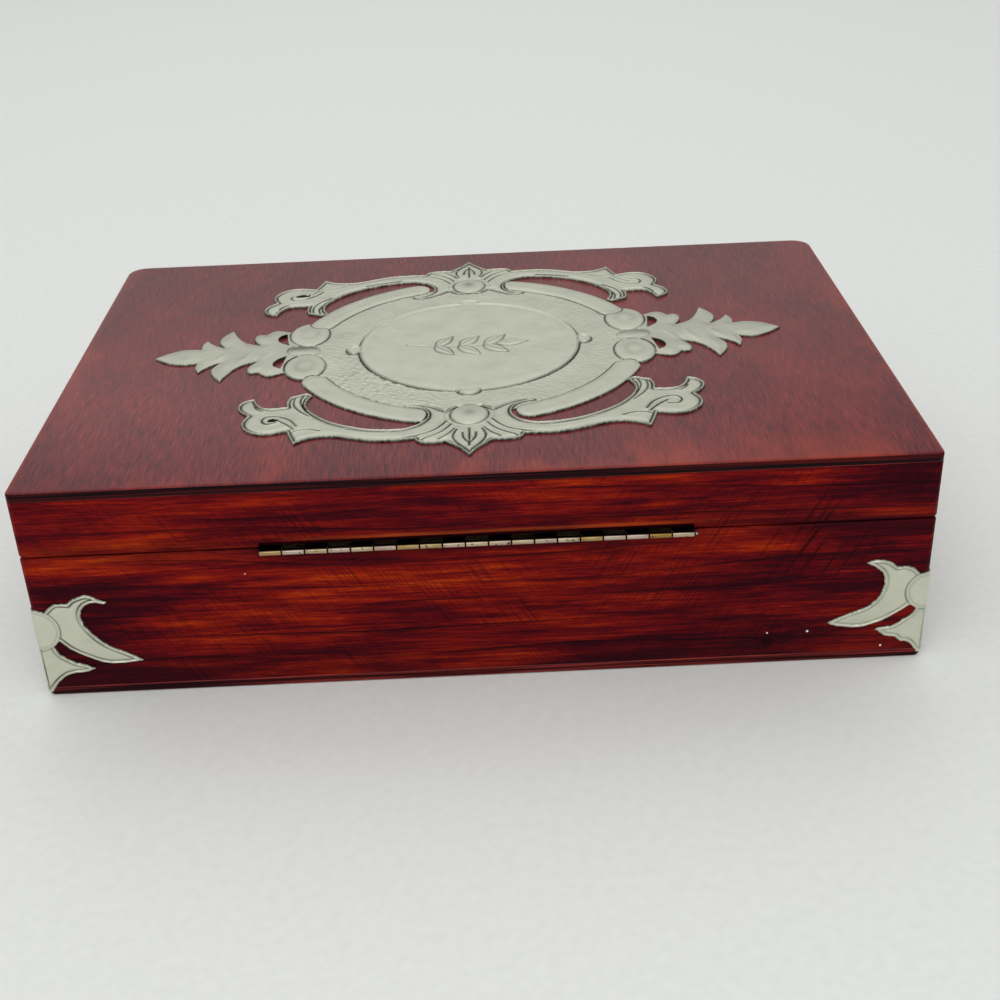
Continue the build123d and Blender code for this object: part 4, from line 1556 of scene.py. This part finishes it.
    def _beads(self, made: Relief, a: Array, y: Array) -> None:
        """Lays two oval beads each side, with a narrow tie between them.

        Args:
            made: The sheet.
            a: How far each place lies to either side.
            y: Grid of the second coordinate, from the beads' own middle line.
        """
        tie = 4.2 - np.hypot(np.maximum(np.abs(a - self.tie_at) - 1.2, 0), y)
        made.lay(tie, Tooling(edge=0.7, crown=0.3, crown_width=3.0), seam=0.05, grey=0.08, dark=0.15)
        made.patina_and_shade = made.patina_and_shade + 0.5 * bell(y + 2.0, 2.2) * smooth(tie / 1.2)
        groove = np.where(np.abs(a - self.tie_at) < 5.5, np.abs(y - 3.0), 9.0)
        made.draw(groove, sunk=0.1, width=0.3, dark=0.4)
        (middle_a, middle_b), (half_a, half_b) = self.bead, self.bead_half
        oval = np.hypot((a - middle_a) / half_a, (np.abs(y) - middle_b) / half_b)
        depth = outline_depth(a, np.abs(y), ellipse(self.bead, self.bead_half))
        made.lay(depth, Tooling(edge=0.75, crown=0.1, crown_width=1.0), seam=0.14, grey=0.05, dark=1.1)
        made.height = made.height + 0.42 * np.clip(1 - oval**2, 0, 1) ** 0.75 * (depth > 0)
        made.patina_and_shade = made.patina_and_shade + 0.14 * bell(oval - 0.42, 0.16)

    def _bands(self, made: Relief, a: Array, b: Array, reach: Array) -> None:
        """Lays four smooth bands that bend round the field and end round over the beads.

        Args:
            made: The sheet.
            a: How far each place lies to either side.
            b: How far it lies up or down.
            reach: Distance from the centre.
        """
        low, high = (math.radians(v) for v in self.band_ends)
        angle = np.clip(np.arctan2(b, a), low, high)
        away = np.hypot(a - self.band_line * np.cos(angle), b - self.band_line * np.sin(angle))
        band = Tooling(edge=0.75, crown=0.24, crown_width=2.2)
        made.lay(self.band_half - away, band, seam=0.16, grey=0.06, dark=1.2, over=True)

    def _arms(self, made: Relief, a: Array, b: Array) -> None:
        """Lays the scroll arms and the heads that join them, with their lips, flutes, spirals and beads.

        Args:
            made: The sheet.
            a: How far each place lies to either side.
            b: How far it lies up or down.
        """
        quarter = chain(self.arm)
        closing = [(0.0, 78.0), (-4.0, 78.0), (-4.0, 45.0), (4.0, 45.0)]
        depth = outline_depth(a, b, np.concatenate([quarter, closing, quarter[:1]]))
        lipped = Tooling(
            edge=0.55, lip=0.34, line=0.42, crown=0.26, crown_width=2.0, lip_at=0.42, line_at=1.05, stain=1.5
        )
        made.lay(depth, lipped, seam=0.28, grey=0.06, dark=1.4)
        for flute in self.flutes:
            made.draw(line_distance(a, b, spline(flute)), sunk=0.26, width=0.34, dark=1.3)
        depth = outline_depth(a, b, ellipse((0.0, self.head_bead), self.head_bead_half))
        oval = np.hypot(a / self.head_bead_half[0], (b - self.head_bead) / self.head_bead_half[1])
        made.lay(depth, Tooling(edge=0.75, crown=0.1, crown_width=1.0), seam=0.16, grey=0.05)
        made.height = made.height + 0.55 * np.clip(1 - oval**2, 0, 1) ** 0.75 * (depth > 0)
        made.patina_and_shade = made.patina_and_shade + 0.42 * bell(oval, 0.34)
        made.draw(np.abs(depth + 1.5), sunk=0.1, width=0.3, dark=0.25)

    def place(self, x: Array, y: Array, height: Array) -> Array:
        """Turns the mount's own coordinates to the frame's: a turn about the vertical and a shift.

        Args:
            x: First coordinates.
            y: Second coordinates.
            height: Heights above the lid.

        Returns:
            Points in the frame, in millimetres.
        """
        c, s = math.cos(math.radians(self.turn)), math.sin(math.radians(self.turn))
        turned_x = self.centre[0] + c * x - s * y
        turned_y = self.centre[1] + s * x + c * y
        return np.column_stack((turned_x, turned_y, self.top + height))

    def build(self, pewter: bpy.types.Material) -> None:
        """Makes the middle and the two wings of the mount, whose seams lie in the hammered ground.

        Args:
            pewter: The finish.
        """
        made = self.relief()
        reach = np.hypot(made.x, made.y)
        parts = {
            "lid_mount_middle": np.minimum(made.depth, self.split - reach),
            "lid_mount_wing_right": np.minimum.reduce([made.depth, reach - self.split, made.x]),
            "lid_mount_wing_left": np.minimum.reduce([made.depth, reach - self.split, -made.x]),
        }
        for name, kept in parts.items():
            patch = Patch(kept)
            x, y, height = patch.at(made.x), patch.at(made.y), patch.at(made.height)
            front = self.place(x, y, height)
            back = self.place(x, y, np.zeros_like(height))
            piece = sheet(name, patch, front, back, np.clip(patch.at(made.patina_and_shade), 0, 1), flat=True)
            dress(piece, Body.LID, Slot.PEWTER, pewter, "lid_mount")


@dataclass
class CornerMount:
    """A pewter mount bent round a lower corner: a boss on the arris, a crescent and a spur on each face.

    Side and face are 1 or -1 and tell which corner it is, and half holds the box's half width and depth.
    The outlines run from the boss's middle, in millimetres before scaling. The photograph shows the two
    back mounts, whose arrises are eased less than those of the front.
    """

    node: str
    side: int
    face: int
    half: Pair
    radius: float
    scaling: float = 1.0
    boss_z: float = 22.8
    boss_radius: float = 7.2
    stain: float = 0.85
    grid: float = 0.27
    reach: float = 34.0
    rise: Pair = (0.2, 36.0)
    foot: float = 0.8
    crescent: tuple[Stretch, ...] = (
        ((3.3, 6.0), (5.2, 7.9), (6.9, 9.0), (8.7, 9.1), (10.6, 8.9)),
        ((10.6, 8.9), (11.8, 10.1), (14.1, 11.1), (16.3, 11.6), (18.2, 11.0), (20.1, 9.9), (22.1, 9.0)),
        (
            (22.1, 9.0), (21.6, 8.4), (19.8, 8.6), (17.8, 8.8), (15.8, 8.1), (14.5, 6.7), (13.8, 4.2),
            (14.4, 1.4), (15.9, -1.3), (18.0, -4.0), (20.2, -6.0), (23.3, -7.9), (26.4, -9.6), (29.9, -12.0),
        ),
        (
            (29.9, -12.0), (27.4, -12.3), (24.7, -12.6), (22.0, -12.7), (19.1, -12.4),
            (16.7, -11.6), (13.6, -10.0), (10.6, -8.2), (8.0, -6.0), (6.2, -3.9),
        ),
    )
    spur: tuple[Stretch, ...] = (
        ((4.1, -5.4), (5.5, -8.5), (7.7, -10.4), (10.0, -11.8), (12.5, -12.7), (14.9, -14.1)),
        ((14.9, -14.1), (13.4, -14.9), (11.8, -15.3), (9.2, -15.5), (6.6, -16.1)),
        ((6.6, -16.1), (4.6, -17.5), (2.3, -20.0), (0.8, -22.3)),
    )

    def relief(self) -> Relief:
        """Works the unrolled sheet up; the first coordinate runs along both faces from the arris.

        Returns:
            The sheet, its second coordinate the height above the table.
        """
        s, z = np.meshgrid(
            np.arange(-self.reach, self.reach + self.grid, self.grid),
            np.arange(self.rise[0], self.rise[1] + self.grid, self.grid),
        )
        a, b = np.abs(s) / self.scaling, (z - self.boss_z) / self.scaling
        made = Relief(s, z)
        thin = Tooling(
            edge=0.34, lip=0.24, line=0.2, crown=0.2, crown_width=1.6, line_at=1.1, stain=1.4 * self.stain
        )
        spur, crescent = chain(self.spur), chain(self.crescent)
        for outline, closing in ((spur, [(-1.0, spur[-1, 1]), (-1.0, 0.0)]), (crescent, [(0.0, 0.0)])):
            closed = np.concatenate([outline, closing, outline[:1]])
            made.lay(outline_depth(a, b, closed), thin, seam=0.12)
        boss = self.boss_radius - np.hypot(a, b)
        made.lay(boss, Tooling(edge=0.36, crown=0.18, crown_width=4.0), seam=0.16)
        made.draw(np.abs(boss - 1.1), sunk=0.08, width=0.3, dark=0.35)
        made.patina_and_shade = made.patina_and_shade * (0.75 + 0.4 * hand_waver(s, z, 11.0, 3))
        made.fray(0.12)
        made.depth = np.minimum(made.depth, z - self.foot)
        made.height = np.clip(made.height + 0.03 * hand_waver(s, z, 9.0, 2), 0.15, 0.6)
        return made

    def place(self, s: Array, z: Array, height: Array) -> Array:
        """Bends the unrolled sheet round the corner.

        Past the arris's quarter round a point lies on a flat face, as far along it as its unrolled distance
        from the round's end. On the round it lies at the round's radius plus its height, turned by its
        distance over the radius.

        Args:
            s: Unrolled distances from the arris.
            z: Heights above the table.
            height: Heights above the wood.

        Returns:
            Points in the frame, in millimetres.
        """
        bend = self.radius * math.pi / 4
        middle_x, middle_y = self.half[0] - self.radius, self.half[1] - self.radius
        angle = math.pi / 4 + np.clip(s, -bend, bend) / self.radius
        past = np.maximum(np.abs(s) - bend, 0)
        x = middle_x + (self.radius + height) * np.cos(angle) - past * (s > 0)
        y = middle_y + (self.radius + height) * np.sin(angle) - past * (s < 0)
        return np.column_stack((self.side * x, self.face * y, z))

    def build(self, pewter: bpy.types.Material) -> None:
        """Makes and dresses the mount, its triangles turned so that they face outwards.

        Args:
            pewter: The finish.
        """
        made = self.relief()
        patch = Patch(made.depth)
        if self.side * self.face > 0:
            patch.triangles, patch.rim = patch.triangles[:, ::-1], patch.rim[:, ::-1]
        s, z = patch.at(made.x), patch.at(made.y)
        front = self.place(s, z, patch.at(made.height))
        back = self.place(s, z, np.zeros_like(s))
        patina_and_shade = np.clip(patch.at(made.patina_and_shade), 0, 1)
        piece = sheet(self.node + "_worked", patch, front, back, patina_and_shade, flat=False)
        dress(piece, Body.BASE, Slot.PEWTER, pewter, self.node)


@dataclass
class ContinuousHinge:
    """A brass piano hinge: two leaves, rolled knuckles that take turns, a steel pin and slotted screws.

    Lengths are in millimetres. A knuckle's strip starts a root's length in from the axis, where it lies
    inside the leaf, and the leaf's flat ends a neck's length in from it.
    """

    axis_y: float
    axis_z: float
    knuckles: int = 19
    pitch: float = 6.32
    gap: float = 0.38
    radius: float = 0.9
    bore: float = 0.5
    leaf: float = 0.4
    front: float = 80.2
    middle: float = 0.6
    root: float = 2.6
    neck: float = 2.4
    rolled: float = 1.2
    end_share: float = 0.93
    end_length: float = 0.12
    ease: float = 0.08
    pin: float = 0.45
    tail: float = 0.9
    screws: int = 4
    span: float = 99.0
    screw_y: float = 83.6
    head: float = 1.5
    head_depth: float = 0.26
    slot: float = 0.22
    turned: tuple[Pair, ...] = ((1.35, 0.25), (0.75, 0.8), (0.7, 6.8), (0.05, 7.0))

    @property
    def start(self) -> float:
        """Where the first knuckle starts along X."""
        return self.middle - self.knuckles * self.pitch / 2

    def section(self, side: int) -> Array:
        """A rolled knuckle's closed section: out along the leaf, round the outside, back round the bore.

        Args:
            side: 1 for the lid's knuckles, -1 for the base's.

        Returns:
            Points as Y and Z.
        """
        turns = np.radians(np.linspace(-90, 235, 27))
        circle = np.column_stack((np.cos(turns), np.sin(turns)))
        lower, upper = [(-self.root, -self.radius)], [(-self.root, -self.radius + self.leaf)]
        ring = np.concatenate([lower, circle * self.radius, circle[::-1] * self.bore, upper])
        ring[:, 1] *= -side
        return ring + (self.axis_y, self.axis_z)

    def knuckle(self, number: int, side: int) -> Array:
        """One knuckle, its rolled part drawn in a little at both ends.

        Args:
            number: Its number from the start, from 0.
            side: 1 for the lid's knuckles, -1 for the base's.

        Returns:
            Rings along X.
        """
        begin = self.start + number * self.pitch + self.gap / 2
        end = begin + self.pitch - self.gap
        ring = self.section(side)
        core = (self.axis_y, self.axis_z)
        rings = []
        for x, share in (
            (begin, self.end_share),
            (begin + self.end_length, 1.0),
            (end - self.end_length, 1.0),
            (end, self.end_share),
        ):
            drawn_in = np.where(ring[:, :1] > self.axis_y - self.rolled, share, 1.0)
            pulled = core + (ring - core) * drawn_in
            rings.append(np.column_stack((np.full(len(pulled), x), pulled)))
        turned = np.array(rings)
        return turned if side < 0 else turned[:, ::-1]

    def build(self) -> None:
        """Makes and dresses the hinge."""
        places = {"start": self.start, "pitch": self.pitch, "gap": self.gap}
        rolled = KnuckleMetal("#d3c6a8", "#9a7c46", roughness=0.33, patch=7.0, **places)
        brass = rolled.build("aged_rolled_brass")
        screw = AgedMetal("#d2bb84", "#a08046", roughness=0.25, patch=2.0).build("turned_brass_screws")
        steel = KnuckleMetal("#b9b6ae", "#77736b", tones=("#b9b6ae",) * 3, **places).build("drawn_steel_wire")
        for node, first, side, body in (
            ("hinge_leaf_lid", 0, 1, Body.LID),
            ("hinge_leaf_base", 1, -1, Body.BASE),
        ):
            for number in range(first, self.knuckles, 2):
                piece = loft(f"{node}_knuckle_{number:02d}", self.knuckle(number, side))
                dress(piece, body, Slot.BRASS, brass, node)
            dress(self.plate(node, side), body, Slot.BRASS, brass, node)
        self._screws(screw)
        self._pin(steel)

    def plate(self, node: str, side: int) -> bpy.types.Object:
        """Makes the flat of a leaf, with eased edges.

        Args:
            node: The leaf's CAD node.
            side: 1 for the lid's leaf, -1 for the base's.

        Returns:
            The piece.
        """
        z = self.axis_z + side * (self.radius - self.leaf / 2)
        x0, x1 = self.start, self.start + self.knuckles * self.pitch
        y0, y1 = self.front, self.axis_y - self.neck
        half = self.leaf / 2
        rings = []
        for e, h in ((self.ease, -half), (0.0, self.ease - half), (0.0, half - self.ease), (self.ease, half)):
            corners = ((x0 + e, y0 + e), (x1 - e, y0 + e), (x1 - e, y1 - e), (x0 + e, y1 - e))
            rings.append([(x, y, z + h) for x, y in corners])
        return loft(node + "_plate", np.array(rings))

    def _screws(self, material: bpy.types.Material) -> None:
        """Makes the slotted countersunk screws; the wood hides their shanks.

        A screw is turned from its profile up to the slot's floor, and two half heads stand on that.

        Args:
            material: Their finish.
        """
        xs = self.middle + self.span * (np.arange(self.screws) / (self.screws - 1) - 0.5)
        turns = np.radians(np.arange(0, 360, 15))
        cut = math.asin(self.slot / self.head)
        half = np.linspace(cut, math.pi - cut, 13)
        for node, body, side in (("hinge_screws_base", Body.BASE, -1), ("hinge_screws_lid", Body.LID, 1)):
            z = self.axis_z + side * (self.radius - self.leaf)
            for number, x in enumerate(xs):
                lean = 0.7 + 2.1 * number
                stem = self._stack(x, z, side, [(turns, r, h) for r, h in self.turned])
                lips = []
                for away in (0.0, math.pi):
                    rows = [(lean + away + half, self.head, h) for h in (0.0, self.head_depth)]
                    lips.append(self._stack(x, z, side, rows))
                dress(loft(f"{node}_{number}", stem, *lips), body, Slot.SCREW, material, node)

    def _stack(self, x: float, z: float, side: int, rows: Sequence[tuple[Array, float, float]]) -> Array:
        """Stacks rings of a screw.

        Args:
            x: Where the screw is along X.
            z: The level of its head.
            side: 1 if the screw points up, -1 if it points down.
            rows: The angles, radius and depth of each ring.

        Returns:
            The rings.
        """
        rings = []
        for turns, r, h in rows:
            level = np.full(len(turns), z + side * h)
            rings.append(np.column_stack((x + r * np.cos(turns), self.screw_y + r * np.sin(turns), level)))
        stacked = np.array(rings)
        return stacked[:, ::-1] if side < 0 else stacked

    def _pin(self, material: bpy.types.Material) -> None:
        """Makes the steel pin, its ends rounded off.

        Args:
            material: Its finish.
        """
        x0 = self.start - self.tail
        x1 = self.start + self.knuckles * self.pitch
        turns = np.radians(np.arange(0, 360, 15))
        tip = ((x0, 0.2), (x0 + 0.15, 0.4), (x0 + 0.35, self.pin))
        butt = ((x1 - 0.35, self.pin), (x1 - 0.1, 0.4), (x1, 0.2))
        rings = []
        for x, r in tip + butt:
            y, z = self.axis_y + r * np.cos(turns), self.axis_z + r * np.sin(turns)
            rings.append(np.column_stack((np.full(len(turns), x), y, z)))
        dress(loft("hinge_pin_wire", np.array(rings)), Body.LID, Slot.STEEL, material, "hinge_pin")


@dataclass(frozen=True)
class Lamp:
    """A square soft lamp: its name, its place and width in metres, and its power in watts."""

    name: str
    place: Triple
    size: float
    power: float


@dataclass
class Studio:
    """The plain pale floor, the sky, the soft lamps and the camera.

    The camera's place is in millimetres and the floor's half width in metres. The sky's pair is how bright
    it looks in gloss, low and overhead.
    """

    camera_place: Triple = (-3.36, 423.94, 247.19)
    camera_right: Triple = (-0.998967, 0.028364, -0.035493)
    camera_up: Triple = (-0.044830, -0.488417, 0.871458)
    lens: float = 51.14
    sensor: float = 36.0
    floor_half: float = 3.0
    sky: Pair = (0.25, 1.65)
    sky_light: float = 0.75
    lamps: tuple[Lamp, ...] = (
        Lamp("key", (0.15, 0.95, 1.25), 1.6, 8.2),
        Lamp("rim", (0.1, -1.0, 1.2), 1.3, 3.0),
    )

    def build(self) -> None:
        """Makes the floor, the world, the lamps and the camera."""
        self._floor()
        self._world()
        for lamp in self.lamps:
            self._hang(lamp)
        self._camera()
        bpy.context.scene.view_settings.view_transform = "Standard"

    def _floor(self) -> None:
        """Makes a pale matt table top, very slightly mottled."""
        h = self.floor_half / MM
        corners = np.array([(-h, -h, 0), (h, -h, 0), (h, h, 0), (-h, h, 0)])
        floor = new_object("floor", corners, [[0, 1, 2, 3]])
        n = Nodes(bpy.data.materials.new("pale_laminate"))
        place = n.add("TexCoord").outputs["Object"]
        mottle = n.add("TexNoise", {"Vector": place, "Scale": per_mm(3.0), "Detail": 4.0})
        tone = n.add("ValToRGB", {"Fac": mottle.outputs["Fac"]}, stops=[(0.3, "#e9eae6"), (0.7, "#eeefeb")])
        shader = n.add("BsdfPrincipled", {"Base Color": tone.outputs["Color"], "Roughness": 0.55})
        floor.data.materials.append(n.finish(shader.outputs["BSDF"]))

    def _world(self) -> None:
        """Makes a soft even sky.

        The camera sees it as a pale wall, and gloss sees it brighter overhead than all round.
        """
        world = bpy.data.worlds.new("studio")
        bpy.context.scene.world = world
        n = Nodes(world)
        path = n.add("LightPath").outputs
        seen = n.add("Math", {0: path["Is Camera Ray"], 1: path["Is Glossy Ray"]}, operation="MAXIMUM")
        through = n.add("Math", {0: seen.outputs[0], 1: path["Is Transmission Ray"]}, operation="MAXIMUM")
        apart = n.add("SeparateXYZ", {0: n.add("TexCoord").outputs["Generated"]})
        low, high = self.sky
        grade = n.add("MapRange", {"Value": apart.outputs[2], "To Min": low, "To Max": high})
        graded = n.add("Mix", {0: path["Is Glossy Ray"], 2: 1.0, 3: grade.outputs["Result"]})
        light = n.add("Background", {"Color": linear("#e9ebec"), "Strength": self.sky_light})
        shown = n.add("Background", {"Color": linear("#d9dad8"), "Strength": graded.outputs[0]})
        mix = n.add("MixShader", {0: through.outputs[0], 1: light.outputs[0], 2: shown.outputs[0]})
        n.add("OutputWorld", {"Surface": mix.outputs[0]})

    def _hang(self, lamp: Lamp) -> None:
        """Hangs a lamp so that it looks at the box.

        Args:
            lamp: The lamp.
        """
        data = bpy.data.lights.new(lamp.name, "AREA")
        data.size, data.energy = lamp.size, lamp.power
        hung = bpy.data.objects.new(lamp.name, data)
        bpy.context.scene.collection.objects.link(hung)
        hung.location = lamp.place
        hung.rotation_euler = (-Vector(lamp.place)).to_track_quat("-Z", "Y").to_euler()

    def _camera(self) -> None:
        """Puts the camera at the photograph's place, its axes given by right, up and their cross product."""
        data = bpy.data.cameras.new("camera")
        data.lens, data.sensor_width = self.lens, self.sensor
        camera = bpy.data.objects.new("camera", data)
        bpy.context.scene.collection.objects.link(camera)
        right, up = Vector(self.camera_right), Vector(self.camera_up)
        turn = Matrix((right, up, right.cross(up))).transposed().to_4x4()
        camera.matrix_world = Matrix.Translation(Vector(self.camera_place) * MM) @ turn
        bpy.context.scene.camera = camera


def corner_mounts(half: Pair) -> list[CornerMount]:
    """Describes the four corner mounts. The back left one is cut a little smaller and rounder by hand.

    Args:
        half: The box's half width and half depth, in millimetres.

    Returns:
        The mounts.
    """
    back_left = CornerMount(
        "corner_mount_back_left",
        side=-1,
        face=1,
        half=half,
        radius=2.0,
        boss_z=22.9,
        boss_radius=6.3,
        stain=0.4,
        crescent=(
            ((2.7, 6.1), (4.2, 7.6), (5.7, 8.4), (7.3, 8.7), (8.9, 8.5)),
            (
                (8.9, 8.5), (9.8, 9.1), (11.1, 10.1), (12.5, 10.7),
                (14.1, 11.0), (15.4, 11.0), (16.8, 10.8), (18.2, 10.1),
            ),
            (
                (18.2, 10.1), (16.6, 9.2), (15.2, 8.3), (14.0, 7.3), (13.0, 6.0), (12.6, 4.3), (12.7, 1.6),
                (13.4, -0.5), (14.6, -2.4), (16.7, -4.4), (19.4, -5.7), (22.1, -6.7), (24.7, -7.9),
                (28.1, -9.5),
            ),
            (
                (28.1, -9.5), (26.4, -10.4), (24.0, -11.0), (21.7, -11.4), (19.3, -11.6), (17.0, -11.3),
                (14.8, -10.6), (12.5, -9.8), (9.9, -8.3), (7.3, -6.6), (5.2, -5.1),
            ),
        ),
        spur=(
            (
                (3.0, -6.5), (4.1, -7.9), (6.1, -9.4), (8.2, -11.0),
                (10.5, -11.7), (12.5, -11.9), (14.1, -12.6),
            ),
            ((14.1, -12.6), (12.6, -13.5), (11.1, -14.8), (9.2, -15.3), (7.8, -15.5)),
            ((7.8, -15.5), (7.0, -16.4), (5.8, -17.1), (4.6, -17.1)),
            ((4.6, -17.1), (3.6, -17.7), (2.3, -19.2), (0.8, -21.3)),
        ),
    )
    return [
        back_left,
        CornerMount("corner_mount_back_right", side=1, face=1, half=half, radius=2.0, scaling=0.97),
        CornerMount("corner_mount_front_left", side=-1, face=-1, half=half, radius=6.5),
        CornerMount("corner_mount_front_right", side=1, face=-1, half=half, radius=6.5),
    ]


def main() -> None:
    """Builds the sub-assemblies in order."""
    logging.basicConfig(level=logging.INFO, format="%(name)s: %(message)s")
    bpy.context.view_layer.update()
    half_x, half_y, top = node_box("lid_top_panel")[1]
    _, axis_y, axis_z = (round(v / MM, 2) for v in frame["joints"][0]["pos_m"])
    # One pewter in two copies: the corner mounts' copy is painted lighter than the lid's, to stand in for the
    # light that their upright faces catch.
    lid_pewter = Pewter(("#b7b8a9", "#bebfb0", "#c3c4b5")).build("worked_pewter_lid")
    bright = Pewter(("#d3d4c3", "#dadbc9", "#dfe0d0")).build("worked_pewter_corners_painted_lighter")
    Casing().build()
    LidMount(top).build(lid_pewter)
    for mount in corner_mounts((half_x, half_y)):
        mount.build(bright)
    ContinuousHinge(axis_y, axis_z).build()
    Studio().build()


if __name__ == "__main__":
    main()
